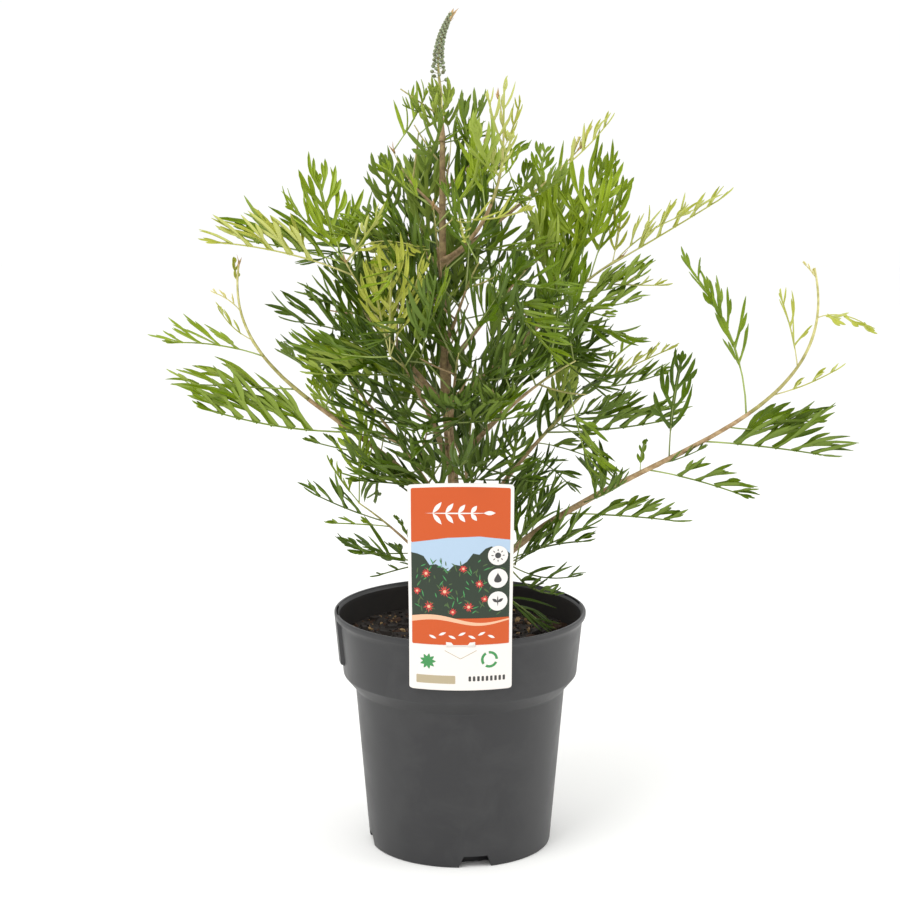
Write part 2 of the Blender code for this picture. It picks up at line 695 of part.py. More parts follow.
class Spaces:
    """The crown shared out: each mass owns what is nearer to its own axis than to any other.

    A mass's axis is its shoot, with its planned leaves once these have found room.
    """

    def __init__(self, shoots):
        self.axes = {}
        self.boughs = {}
        self.surfaces = []
        for shoot in shoots:
            fine = np.linspace(0.0, 1.0, 49)
            spots = [tuple(shoot.place(share)) for share in fine]
            radii = [shoot.radius_at(share) for share in fine]
            bare = sum(share < shoot.bare for share in fine)
            self.boughs[shoot.name] = self.cloud(spots[:bare], radii[:bare])
            self.axes[shoot.name] = self.cloud(spots, radii)
        heights = np.linspace(SOIL_LEVEL, TRUNK_TOP, 80)
        self.trunk = self.cloud([tuple(trunk_place(height)) for height in heights],
                                [trunk_radius(height) for height in heights])

    @staticmethod
    def cloud(spots, radii):
        return np.array(spots).reshape(-1, 3), np.array(radii)

    @staticmethod
    def clearance(points, cloud):
        """How far each point is from the nearest surface of a cloud's limbs."""
        spots, radii = cloud
        if not len(spots):
            return np.full(len(points), 1.0)
        gaps = np.linalg.norm(points[:, None, :] - spots[None, :, :], axis=2) - radii[None, :]
        return gaps.min(axis=1)

    def owned(self, name, points):
        own = self.clearance(points, (self.axes[name][0], 0.0 * self.axes[name][1]))
        return all((self.clearance(points, axis) - own).min() >= SPACE_GAP
                   for other, axis in self.axes.items() if other != name)

    def apart(self, name, points):
        """Whether points clear every other mass's axis, however near they come to its space."""
        return all(self.clearance(points, axis).min() >= SPACE_GAP
                   for other, axis in self.axes.items() if other != name)

    def clear_of_limbs(self, name, points):
        return (self.clearance(points, self.trunk).min() >= LIMB_GAP
                and self.clearance(points, self.boughs[name]).min() >= LIMB_GAP)

    def extend(self, name, points):
        spots, radii = self.axes[name]
        self.axes[name] = np.vstack([spots, points]), np.append(radii, np.zeros(len(points)))

    def crosses(self, surface):
        """Whether a leaf's surface crosses one that is already there."""
        low, high, tree = surface
        return any((low < other_high).all() and (high > other_low).all() and tree.overlap(other)
                   for other_low, other_high, other in self.surfaces)


def clear_of_pot_and_label(points):
    out = np.hypot(points[:, 0], points[:, 1])
    over_wall = out > COLLAR_TOP_RADIUS - WALL - POT_GAP
    low = np.where(over_wall, POT_HEIGHT, SOIL_LEVEL) + POT_GAP
    at_label = ((np.abs(points[:, 0]) < LABEL_WIDTH / 2 + LABEL_GAP)
                & (points[:, 1] < LABEL_GAP - RIM_RADIUS)
                & (points[:, 2] < LABEL_HEAD + LABEL_GAP))
    return not (points[:, 2] < low).any() and not at_label.any()


def inside_crown(points):
    heights, reaches = zip(*CROWN_OUTLINE)
    out = np.hypot(points[:, 0] - TRUNK_LEAN, points[:, 1])
    return (out <= np.interp(points[:, 2], heights, reaches)).all()


# Masses of foliage

class Mass:
    """One mass of foliage: a stem, its side twigs, and the leaves that found room."""

    def __init__(self, shoot, spaces, seed):
        self.shoot = shoot
        self.spaces = spaces
        self.dice = random.Random(seed)
        self.leaves = []
        self.twigs = []

    def roomy(self, points, test):
        """Whether points keep to the space, where the first may touch the stem's own bough."""
        return (test(self.shoot.name, points)
                and self.spaces.clear_of_limbs(self.shoot.name, points[1:])
                and clear_of_pot_and_label(points))

    def add_leaf(self, leaf, test):
        """Keep a leaf that has room and crosses no leaf that is already there."""
        if not self.roomy(leaf.samples(), test):
            return False
        points, faces = leaf.surface()
        corners = np.array(points)
        surface = corners.min(axis=0), corners.max(axis=0), BVHTree.FromPolygons(points, faces)
        if self.spaces.crosses(surface):
            return False
        self.spaces.surfaces.append(surface)
        self.leaves.append(leaf)
        return True

    def try_leaf(self, root, stem_heading, turn, lengthwise=1.0):
        """Add the longest and most open of the leaves tried that has room in the crown."""
        length = self.shoot.leaf_length * lengthwise
        length *= 1.0 + self.dice.uniform(-LEAF_LENGTH_SPREAD, LEAF_LENGTH_SPREAD)
        lift = self.dice.uniform(*LEAF_LIFTS)
        fold = math.radians(self.dice.uniform(*LOBE_FOLDS))
        for share in LEAF_LENGTHS_TRIED:
            for opening in LEAF_OPENINGS_TRIED:
                for shift in LEAF_TURNS_TRIED:
                    heading = leaf_heading(stem_heading, turn + shift, opening)
                    leaf = Leaf(root, heading, facing_of(heading, stem_heading), length * share,
                                lift, fold)
                    if inside_crown(leaf.samples()) and self.add_leaf(leaf, self.spaces.owned):
                        return

    def grow_twigs(self, turn):
        """Side twigs, each with a leaf at its tip and one beside it."""
        for index, share in enumerate(TWIG_SHARES):
            stem_heading = self.shoot.heading(share)
            root = self.shoot.place(share)
            for shift in range(TWIG_TURNS_TRIED):
                heading = leaf_heading(stem_heading, turn + (index + shift) * GOLDEN_ANGLE,
                                       TWIG_OPENING)
                tip = root + heading * TWIG_LENGTH
                points = np.array([tuple(root.lerp(tip, part)) for part in (0.3, 0.6, 1.0)])
                if self.roomy(points, self.spaces.owned) and inside_crown(points):
                    self.twigs.append((root, tip))
                    self.try_leaf(root.lerp(tip, 0.97), heading, turn, TWIG_LEAF_SHARE)
                    self.try_leaf(root.lerp(tip, 0.55), heading, turn + math.pi, TWIG_LEAF_SHARE)
                    break

    def grow_planned(self):
        for sizes in PLANNED_LEAVES.get(self.shoot.name, ()):
            self.add_leaf(planned_leaf(self.shoot, sizes), self.spaces.apart)
        for leaf in self.leaves:
            self.spaces.extend(self.shoot.name, leaf.samples())

    def grow_by_rule(self):
        """Twigs, then leaves at even steps and golden turns from the stem's tip down."""
        shoot = self.shoot
        if not shoot.leaves:
            return
        turn = self.dice.uniform(0.0, 2.0 * math.pi)
        if shoot.span >= MIN_SHOOT_FOR_TWIGS:
            self.grow_twigs(turn)
        lowest = max(shoot.bare, 0.12) + 0.08
        for index in range(shoot.leaves):
            share = 0.98 - (0.98 - lowest) * index / (shoot.leaves - 1)
            self.try_leaf(shoot.place(share), shoot.heading(share), turn)
            turn += GOLDEN_ANGLE

    def build(self):
        shoot = self.shoot
        length = sum((b - a).length for a, b in zip(shoot.line, shoot.line[1:]))
        start = shoot.bare + FIT_GAP / length if shoot.bare or shoot.name == LEADER else 0.0
        stem = shoot.limb("foliage_" + shoot.name, start, 1.0, 0 if shoot.leaves else 1, FOLIAGE)
        pieces = new_collection("pieces_" + shoot.name)
        for root, tip in self.twigs:
            tube("twig", [root, tip], [TWIG_RADIUS, TWIG_RADIUS * 0.7], 0, None, pieces)
        for leaf in self.leaves:
            leaf.build(pieces)
        if shoot.name == LEADER:
            add_spike(pieces, shoot.line[-1])
        join_all(stem, pieces)
        if not shoot.bare and shoot.name != LEADER:
            clear_of_trunk(stem)


# Flower spike

def spike_place(foot, share):
    """The spike's axis: up, a little to the left, then nodding over to the right."""
    sway = -0.0035 * math.sin(share * math.pi * 0.9) + SPIKE_LEAN * share ** 3
    return foot + Vector((sway, 0.0, SPIKE_HEIGHT * share))


def add_bud(pieces, centre, out, radius, stalk):
    """A bud of eight faces that narrows to its stalk, with its root on the spike's axis."""
    bm = bmesh.new()
    bmesh.ops.create_uvsphere(bm, u_segments=4, v_segments=2, radius=1.0)
    twist = Vector((0.0, 0.0, 1.0)).rotation_difference(out).to_matrix()
    for vert in bm.verts:
        length = radius if vert.co.z > 0 else stalk
        local = Vector((vert.co.x * radius, vert.co.y * radius, stalk + vert.co.z * length))
        vert.co = centre + twist @ local
    mesh = bpy.data.meshes.new("bud")
    bm.to_mesh(mesh)
    bm.free()
    add_object("bud", mesh, None, pieces)


def add_spike(pieces, foot):
    rings = 5
    shares = [index / rings for index in range(rings + 1)]
    points = [spike_place(foot, share) for share in shares]
    points[0] = foot - Vector((0.0, 0.0, 0.004))
    tube("spike_axis", points, [0.0013 - 0.0006 * share for share in shares], 0, None, pieces)
    for index in range(BUD_COUNT):
        rank = index / (BUD_COUNT - 1)
        share = 0.22 + 0.74 * rank ** 0.85
        crowding = smooth_share(share, 0.15, 0.50)
        turn = index * GOLDEN_ANGLE
        out = Vector((math.cos(turn), math.sin(turn), 0.35)).normalized()
        add_bud(pieces, spike_place(foot, share), out, BUD_RADIUS * (1.0 - 0.40 * rank),
                0.0036 - 0.0016 * crowding - 0.0006 * rank)


# The whole plant

def main():
    build_pot()
    build_soil()
    build_label()
    build_trunk()
    shoots = all_shoots()
    spaces = Spaces(shoots)
    masses = [Mass(shoot, spaces, SEED + index) for index, shoot in enumerate(shoots)]
    for mass in masses:
        mass.grow_planned()
    for mass in masses:
        mass.grow_by_rule()
    for mass in masses:
        if mass.shoot.bare:
            build_bough(mass.shoot)
        mass.build()


main()
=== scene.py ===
import json
import math
import random

import bmesh
import bpy
import numpy as np
from mathutils import Matrix, Vector, noise

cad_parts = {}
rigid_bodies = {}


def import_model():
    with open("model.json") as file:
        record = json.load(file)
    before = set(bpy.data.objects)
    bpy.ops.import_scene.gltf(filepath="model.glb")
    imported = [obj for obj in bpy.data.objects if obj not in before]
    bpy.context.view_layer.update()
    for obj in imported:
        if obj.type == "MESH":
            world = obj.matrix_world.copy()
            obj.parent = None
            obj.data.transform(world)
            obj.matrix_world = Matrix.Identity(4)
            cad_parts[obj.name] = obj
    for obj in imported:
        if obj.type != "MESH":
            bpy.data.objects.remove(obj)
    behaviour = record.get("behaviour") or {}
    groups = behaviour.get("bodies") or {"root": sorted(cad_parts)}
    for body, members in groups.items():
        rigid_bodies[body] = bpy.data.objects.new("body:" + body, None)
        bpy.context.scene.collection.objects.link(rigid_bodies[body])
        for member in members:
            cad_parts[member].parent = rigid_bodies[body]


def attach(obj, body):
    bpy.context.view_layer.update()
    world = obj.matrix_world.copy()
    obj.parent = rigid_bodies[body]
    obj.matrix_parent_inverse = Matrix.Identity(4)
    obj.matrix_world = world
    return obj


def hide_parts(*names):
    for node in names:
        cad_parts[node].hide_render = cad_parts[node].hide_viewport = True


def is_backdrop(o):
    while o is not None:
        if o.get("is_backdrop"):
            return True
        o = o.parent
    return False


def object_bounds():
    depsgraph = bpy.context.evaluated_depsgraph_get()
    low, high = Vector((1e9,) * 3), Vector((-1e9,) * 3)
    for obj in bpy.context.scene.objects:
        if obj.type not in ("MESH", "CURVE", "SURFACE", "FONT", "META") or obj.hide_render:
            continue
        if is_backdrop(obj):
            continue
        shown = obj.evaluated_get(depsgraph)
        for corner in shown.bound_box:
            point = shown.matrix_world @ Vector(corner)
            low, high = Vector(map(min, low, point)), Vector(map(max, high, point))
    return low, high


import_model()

cad_low, cad_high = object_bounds()

# Studio. A plain pale sweep of painted board, a bright even sky of white diffusers, one large
# soft lamp at the upper left and a weaker one at the right. The camera stands level with the
# upper crown and looks down by eleven degrees.

CAMERA_PLACE = (-0.008, -1.83, 0.677)
CAMERA_DIP = 11.08
CAMERA_LENS = 94.96
FLOOR_SIZE = 8.0
SKY_STRENGTH = 1.02
LAMPS = (
    # name, size, power, place, pitch, turn
    ("key_lamp", 1.2, 22.0, (-0.9, -1.2, 2.0), 38.0, -37.0),
    ("side_lamp", 1.0, 7.0, (1.6, -0.2, 0.9), 75.0, 83.0),
)


def linear(hex_colour):
    """An sRGB hex value as linear red, green, blue and alpha."""
    parts = [int(hex_colour[i:i + 2], 16) / 255.0 for i in (1, 3, 5)]
    return [c / 12.92 if c <= 0.04045 else ((c + 0.055) / 1.055) ** 2.4 for c in parts] + [1.0]


def new_material(name, colour, roughness, **finish):
    """A material whose even values are set straight on the shader's own sockets."""
    material = bpy.data.materials.new(name)
    material.use_nodes = True
    shader = material.node_tree.nodes["Principled BSDF"]
    shader.inputs["Base Color"].default_value = linear(colour)
    shader.inputs["Roughness"].default_value = roughness
    for socket, value in finish.items():
        shader.inputs[socket.replace("_", " ")].default_value = value
    return material


def add_node(material, kind, inputs, **settings):
    """Add a node with its settings. An input takes a value, a socket, or a node's first output.
    The shader, named in full, is the one there is. A pattern lies on the piece in metres."""
    tree = material.node_tree
    node = tree.nodes[kind] if kind in tree.nodes else tree.nodes.new(kind)
    for key, value in settings.items():
        setattr(node, key, value)
    if kind.startswith("ShaderNodeTex") and kind != "ShaderNodeTexCoord":
        metres = add_node(material, "ShaderNodeTexCoord", {}).outputs["Object"]
        inputs = {"Vector": metres, **inputs}
    for name, value in inputs.items():
        socket = next(s for s in node.inputs if s.enabled and s.name == name)
        if isinstance(value, bpy.types.Node):
            value = next(s for s in value.outputs if s.enabled)
        if isinstance(value, bpy.types.NodeSocket):
            tree.links.new(value, socket)
        else:
            socket.default_value = value
    return node


def add_pattern(material, patches, colours=None, spread=(0.0, 1.0), grain=None, relief=None):
    """Noise patches that drift between two colours, and a relief of a strength and a depth in
    metres, raised from a finer grain or from the patches themselves."""
    pattern = add_node(material, "ShaderNodeTexNoise", patches)
    looks = {}
    if colours:
        share = add_node(material, "ShaderNodeMapRange",
                         {"Value": pattern, "From Min": spread[0], "From Max": spread[1]})
        dark, pale = (linear(colour) for colour in colours)
        looks["Base Color"] = add_node(material, "ShaderNodeMix",
                                       {"Factor": share, "A": dark, "B": pale}, data_type="RGBA")
    if relief:
        height = add_node(material, "ShaderNodeTexNoise", grain) if grain else pattern
        looks["Normal"] = add_node(material, "ShaderNodeBump", {
            "Strength": relief[0], "Distance": relief[1], "Height": height})
    add_node(material, "Principled BSDF", looks)
    return pattern


camera = bpy.data.objects.new("camera", bpy.data.cameras.new("camera"))
camera.location = CAMERA_PLACE
camera.rotation_euler = (math.radians(90.0 - CAMERA_DIP), 0.0, 0.0)
camera.data.lens = CAMERA_LENS
bpy.context.scene.collection.objects.link(camera)
bpy.context.scene.camera = camera

# Painted board: a dead matt pale face, with a faint roller grain of three bumps to 10 mm.
bpy.ops.mesh.primitive_plane_add(size=FLOOR_SIZE)
floor = bpy.context.object
floor.name = "floor"
painted_board = new_material("painted_board", "#fdfdfb", 0.9)
add_pattern(painted_board, {"Scale": 3 / 0.010, "Detail": 2.0}, relief=(0.1, 0.0002))
floor.data.materials.append(painted_board)
floor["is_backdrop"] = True

sky = bpy.data.worlds.new("studio")
sky.use_nodes = True
sky.node_tree.nodes["Background"].inputs["Color"].default_value = (1.0, 1.0, 1.0, 1.0)
sky.node_tree.nodes["Background"].inputs["Strength"].default_value = SKY_STRENGTH
bpy.context.scene.world = sky
bpy.context.scene.view_settings.view_transform = "Standard"

for lamp_name, size, power, place, pitch, turn in LAMPS:
    lamp = bpy.data.objects.new(lamp_name, bpy.data.lights.new(lamp_name, "AREA"))
    lamp.data.size = size
    lamp.data.energy = power
    lamp.location = place
    lamp.rotation_euler = (math.radians(pitch), 0.0, math.radians(turn))
    bpy.context.scene.collection.objects.link(lamp)


# Pot. An ordinary nursery pot in dark grey polypropylene, injection moulded in one piece: a
# tapered body, a deep collar with a rolled lip, two raised label pockets under the lip, and a
# foot ring with four drainage notches.

POT_HEIGHT = 0.190
RIM_RADIUS = 0.100
COLLAR_TOP_RADIUS = 0.0976
COLLAR_FOOT_RADIUS = 0.0930
COLLAR_FOOT_HEIGHT = 0.1395
BODY_TOP_RADIUS = 0.0834
BODY_TOP_HEIGHT = 0.1280
BASE_RADIUS = 0.0726
WALL = 0.0020
FLOOR_PLATE_RADIUS = 0.0575
CHANNEL_HEIGHT = 0.0100
POT_STEP = 2.5
FILLET_LIMIT = 0.45
NOTCH_COUNT = 4
NOTCH_AZIMUTH = 279.6
NOTCH_FOOT_WIDTH = 0.028
NOTCH_HEAD_WIDTH = 0.019
NOTCH_INSET = 0.006
POCKET_AZIMUTHS = (183.0, 20.0)
POCKET_SPAN = 21.0
POCKET_DEPTH = 0.0026
POCKET_FOOT = 0.1490
POCKET_RAMP = 0.0012
SLOT_DEPTH = 0.024
SLOT_WIDTH = 0.0012
SLOT_TAPER = 0.0016
SLOT_STEPS = 8
SLOT_SHORTER = 3.0
SLOT_OUTSIDE = COLLAR_TOP_RADIUS + 0.0009
CUT_MARGIN = 0.002


def smooth_share(value, low, high):
    share = min(max((value - low) / (high - low), 0.0), 1.0)
    return share * share * (3.0 - 2.0 * share)


def wall_radius(height):
    """The body's outer radius at a height below the collar."""
    return BASE_RADIUS + (BODY_TOP_RADIUS - BASE_RADIUS) * height / BODY_TOP_HEIGHT


def collar_radius(height):
    return COLLAR_FOOT_RADIUS + (COLLAR_TOP_RADIUS - COLLAR_FOOT_RADIUS) * (
        (height - COLLAR_FOOT_HEIGHT) / (POT_HEIGHT - COLLAR_FOOT_HEIGHT))


def filleted(corners, steps=4):
    """A profile of (radius, height) points from corners that carry a fillet size each."""
    points = []
    for index, (radius, height, fillet) in enumerate(corners):
        corner = Vector((radius, height))
        if not fillet:
            points.append(corner)
            continue
        before = Vector(corners[index - 1][:2]) - corner
        after = Vector(corners[index + 1][:2]) - corner
        start = corner + before.normalized() * min(fillet, before.length * FILLET_LIMIT)
        end = corner + after.normalized() * min(fillet, after.length * FILLET_LIMIT)
        for step in range(steps + 1):
            t = step / steps
            points.append((1 - t) ** 2 * start + 2 * t * (1 - t) * corner + t * t * end)
    return points


channel_top = CHANNEL_HEIGHT + WALL
POT_INSIDE = [
    (0.0, WALL, 0.0),
    (FLOOR_PLATE_RADIUS, WALL, 0.001),
    (FLOOR_PLATE_RADIUS + 0.0022, channel_top, 0.001),
    (wall_radius(channel_top) - WALL, channel_top, 0.001),
    (BODY_TOP_RADIUS - WALL, BODY_TOP_HEIGHT - 0.001, 0.003),
    (COLLAR_FOOT_RADIUS - WALL - 0.0008, COLLAR_FOOT_HEIGHT + 0.0008, 0.003),
    (COLLAR_TOP_RADIUS - WALL, POT_HEIGHT - 0.004, 0.002),
]
POT_OUTSIDE = [
    (RIM_RADIUS - 0.0026, POT_HEIGHT, 0.0008),
    (RIM_RADIUS, POT_HEIGHT, 0.0012),
    (RIM_RADIUS, POT_HEIGHT - 0.0036, 0.0010),
    (COLLAR_TOP_RADIUS - 0.0004, POT_HEIGHT - 0.0072, 0.0022),
    (collar_radius(POCKET_FOOT + POCKET_RAMP), POCKET_FOOT + POCKET_RAMP, 0.0),
    (collar_radius(POCKET_FOOT + 0.0004), POCKET_FOOT + 0.0004, 0.0),
    (collar_radius(POCKET_FOOT), POCKET_FOOT, 0.0),
    (COLLAR_FOOT_RADIUS, COLLAR_FOOT_HEIGHT, 0.0010),
    (BODY_TOP_RADIUS, BODY_TOP_HEIGHT, 0.0012),
    (wall_radius(0.060), 0.060, 0.0),
    (BASE_RADIUS, 0.0, 0.0016),
    (BASE_RADIUS - 0.0030, 0.0, 0.0004),
    (BASE_RADIUS - 0.0026, CHANNEL_HEIGHT, 0.0008),
    (FLOOR_PLATE_RADIUS + 0.0040, CHANNEL_HEIGHT, 0.0008),
    (FLOOR_PLATE_RADIUS + 0.0018, 0.0, 0.0008),
    (0.0, 0.0, 0.0),
]


def pocket_rise(azimuth, height):
    """How far the collar stands out at a label pocket."""
    off = min(abs((azimuth - middle + 180.0) % 360.0 - 180.0) for middle in POCKET_AZIMUTHS)
    beside = 1.0 - smooth_share(off, POCKET_SPAN / 2 - 0.5, POCKET_SPAN / 2 + 0.3)
    above = smooth_share(height, POCKET_FOOT - 0.0001, POCKET_FOOT + POCKET_RAMP)
    below_lip = height < POT_HEIGHT - 0.002
    return POCKET_DEPTH * beside * above * below_lip


def pot_azimuths():
    """Even steps round the pot, with closer ones at the edges of the label pockets."""
    azimuths = set(np.arange(0.0, 360.0, POT_STEP))
    for middle in POCKET_AZIMUTHS:
        for side in (-0.5, 0.5):
            azimuths.update((middle + side * POCKET_SPAN + shift) % 360.0
                            for shift in (-0.6, -0.3, 0.0, 0.3, 0.6))
    return sorted(azimuths)


def add_piece(name, verts, faces, materials, smooth=True):
    """A mesh object from points, faces and materials."""
    mesh = bpy.data.meshes.new(name)
    mesh.from_pydata([tuple(vert) for vert in verts], [], faces)
    for material in materials:
        mesh.materials.append(material)
    if smooth:
        mesh.shade_smooth()
    mesh.update()
    piece = bpy.data.objects.new(name, mesh)
    bpy.context.scene.collection.objects.link(piece)
    return piece


def face_outward(mesh):
    bm = bmesh.new()
    bm.from_mesh(mesh)
    bmesh.ops.recalc_face_normals(bm, faces=bm.faces)
    bm.to_mesh(mesh)
    bm.free()


def around(radius, azimuth, height):
    turn = math.radians(azimuth)
    return (radius * math.cos(turn), radius * math.sin(turn), height)


def turned(name, profile, azimuths, material, reshape=lambda azimuth, radius, height: radius):
    """Turn a profile that starts and ends on the axis. reshape may change a point's radius."""
    verts = [(0.0, 0.0, profile[0].y), (0.0, 0.0, profile[-1].y)]
    rings = len(profile) - 2
    for azimuth in azimuths:
        for radius, height in profile[1:-1]:
            verts.append(around(reshape(azimuth, radius, height), azimuth, height))
    faces = []
    for column in range(len(azimuths)):
        here = 2 + column * rings
        there = 2 + (column + 1) % len(azimuths) * rings
        faces.append((0, here, there))
        faces += [(here + ring, here + ring + 1, there + ring + 1, there + ring)
                  for ring in range(rings - 1)]
        faces.append((here + rings - 1, 1, there + rings - 1))
    piece = add_piece(name, verts, faces, [material])
    face_outward(piece.data)
    return piece


def cutter_block(name, columns, collection):
    """A closed block from a row of columns, each of four corners in order."""
    verts = [corner for column in columns for corner in column]
    faces = [(0, 1, 2, 3), tuple(len(verts) - 4 + i for i in (3, 2, 1, 0))]
    for index in range(len(columns) - 1):
        here, there = 4 * index, 4 * (index + 1)
        for corner in range(4):
            after = (corner + 1) % 4
            faces.append((here + corner, there + corner, there + after, here + after))
    mesh = bpy.data.meshes.new(name)
    mesh.from_pydata(verts, [], faces)
    face_outward(mesh)
    collection.objects.link(bpy.data.objects.new(name, mesh))


def apply_modifiers(piece):
    """Swap a piece's mesh for the one that its modifiers make."""
    depsgraph = bpy.context.evaluated_depsgraph_get()
    made = bpy.data.meshes.new_from_object(piece.evaluated_get(depsgraph))
    piece.modifiers.clear()
    piece.data = made


# Polypropylene: a soft satin from the mould's fine spark grain, with a broad pale sheen at
# grazing angles. The grain is about 0.4 mm, drawn at 0.7 mm so that it shows.
polypropylene = new_material("moulded_polypropylene", "#2b2b2d", 0.42, IOR=1.49)
scuffs = add_pattern(
    polypropylene, {"Scale": 1 / 0.035, "Detail": 6.0, "Roughness": 0.62, "Distortion": 0.6},
    ("#262628", "#323233"), (0.42, 0.72), {"Scale": 1 / 0.0007, "Detail": 2.0}, (0.25, 0.00012))
pot_gloss = add_node(polypropylene, "ShaderNodeMapRange",
                     {"Value": scuffs, "From Min": 0.35, "From Max": 0.70,
                      "To Min": 0.37, "To Max": 0.50})
add_node(polypropylene, "Principled BSDF", {"Roughness": pot_gloss})


def with_pockets(azimuth, radius, height):
    """Move the collar's outer face out at the label pockets."""
    face = collar_radius(height)
    if radius > face - 0.0006 and height > POCKET_FOOT - 0.0005:
        return max(radius, face + pocket_rise(azimuth, height))
    return radius


pot = turned("nursery_pot", filleted(POT_INSIDE + POT_OUTSIDE), pot_azimuths(), polypropylene,
             with_pockets)

# The drainage notches in the foot, and the slot behind each label pocket, are cut out of it.
cutters = bpy.data.collections.new("pot_cutters")
bpy.context.scene.collection.children.link(cutters)
foot, head = (math.degrees(width / 2 / BASE_RADIUS) for width in (NOTCH_FOOT_WIDTH,
                                                                  NOTCH_HEAD_WIDTH))
for index in range(NOTCH_COUNT):
    middle = NOTCH_AZIMUTH + index * 360.0 / NOTCH_COUNT
    cutter_block("notch", [[
        around(radius, middle - foot, -CUT_MARGIN), around(radius, middle + foot, -CUT_MARGIN),
        around(radius, middle + head, CHANNEL_HEIGHT - 0.0006),
        around(radius, middle - head, CHANNEL_HEIGHT - 0.0006)]
        for radius in (BASE_RADIUS - NOTCH_INSET, BASE_RADIUS + CUT_MARGIN)], cutters)
for middle in POCKET_AZIMUTHS:
    columns = []
    for step in range(SLOT_STEPS + 1):
        azimuth = middle + (step / SLOT_STEPS - 0.5) * (POCKET_SPAN - SLOT_SHORTER)
        columns.append([around(SLOT_OUTSIDE - inset, azimuth, height) for inset, height in (
            (SLOT_WIDTH, POT_HEIGHT + 0.001), (0.0, POT_HEIGHT + 0.001),
            (SLOT_TAPER, POT_HEIGHT - SLOT_DEPTH),
            (SLOT_TAPER + SLOT_WIDTH, POT_HEIGHT - SLOT_DEPTH))])
    cutter_block("slot", columns, cutters)
boolean = pot.modifiers.new("boolean", "BOOLEAN")
boolean.operation = "DIFFERENCE"
boolean.operand_type = "COLLECTION"
boolean.collection = cutters
boolean.solver = "EXACT"
apply_modifiers(pot)
for cutter in list(cutters.objects):
    bpy.data.objects.remove(cutter, do_unlink=True)
bpy.data.collections.remove(cutters)

# The inside wall is the same plastic under a dull brown film from filling and watering. Its colour
# is also darkened as painted shade inside the pot.
stain_and_painted_shade = new_material("soil_stain_and_painted_shade_polypropylene", "#1c1a19", 0.72, Specular_IOR_Level=0.2)
add_pattern(stain_and_painted_shade, {"Scale": 1 / 0.020, "Detail": 6.0}, ("#1a1a1b", "#2b2622"))
pot.data.materials.append(stain_and_painted_shade)
for face in pot.data.polygons:
    outward = Vector((face.center.x, face.center.y, 0.0)).normalized()
    in_slot = math.hypot(face.center.x, face.center.y) > COLLAR_TOP_RADIUS - WALL + 0.0004
    face.material_index = int(face.normal.dot(outward) < -0.3 and not in_slot)
pot.data.shade_smooth()
pot.data.set_sharp_from_angle(angle=math.radians(32.0))
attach(pot, "root")
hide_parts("pot")


# Growing mix. Composted pine bark, watered in and settled 22 mm below the rim: a dark crumbly
# bed with loose flakes of bark lying on it in tan, red-brown and near-black.

SOIL_LEVEL = 0.168
FIT_GAP = 0.0003
BED_RING = 0.0022
BED_WAVES = ((0.030, 0.0022), (0.009, 0.0013), (0.0035, 0.0008))
BED_FADE = (0.080, 0.0925)
FLAKE_WIDTH = 5.0
FLAKE_TILTS = (0.28, 0.22)
FLAKE_LEVELS = ((-0.5, 1.0), (0.5, 0.78))
FLAKE_SIZES = (
    # how many, shortest and longest, thickness over length, corners
    (430, (0.006, 0.018), (0.13, 0.26), 7),
    (1100, (0.0016, 0.0042), (0.35, 0.7), 4),
)
FLAKE_COLOURS = (
    # name, dark and pale, share of the flakes
    ("tan", "#6f5736", "#a88a5e", 0.12),
    ("red", "#2c1d14", "#4d3424", 0.33),
    ("black", "#100c0a", "#261c15", 0.55),
)

# Damp bark compost: nearly black and matt, with a broken surface that drinks the light.
compost = new_material("damp_bark_compost", "#241a13", 0.93)
add_pattern(compost, {"Scale": 1 / 0.004, "Detail": 8.0, "Roughness": 0.7},
            ("#0d0a08", "#2c211a"), relief=(0.8, 0.0008))


def bed_height(across, back):
    """The settled surface: a slow swell with crumbs on it, level at the wall."""
    spot = Vector((across, back, 0.0))
    rise = sum(noise.noise(spot / size) * depth for size, depth in BED_WAVES)
    return SOIL_LEVEL + rise * (1.0 - smooth_share(math.hypot(across, back), *BED_FADE))


collar_foot, collar_head = (Vector(corner[:2]) for corner in POT_INSIDE[-2:])
level_share = (SOIL_LEVEL - collar_foot.y) / (collar_head.y - collar_foot.y)
edge = collar_foot.lerp(collar_head, level_share).x - FIT_GAP
wall_side = [Vector((max(point.x - FIT_GAP, 0.0), point.y + FIT_GAP))
             for point in filleted(POT_INSIDE[:-1] + [(edge + FIT_GAP, SOIL_LEVEL, 0.0)])[:-1]]
rings = int(edge / BED_RING)
bed_profile = [Vector((edge * index / rings, SOIL_LEVEL)) for index in range(rings + 1)]
bed_profile += list(reversed(wall_side))
bed = turned("growing_mix_bed", bed_profile, np.arange(0.0, 360.0, POT_STEP), compost)
for vert in bed.data.vertices:
    if vert.co.z > SOIL_LEVEL - 0.0001:
        vert.co.z = bed_height(vert.co.x, vert.co.y)
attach(bed, "root")
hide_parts("growing_mix")

bed_dice = random.Random(20)


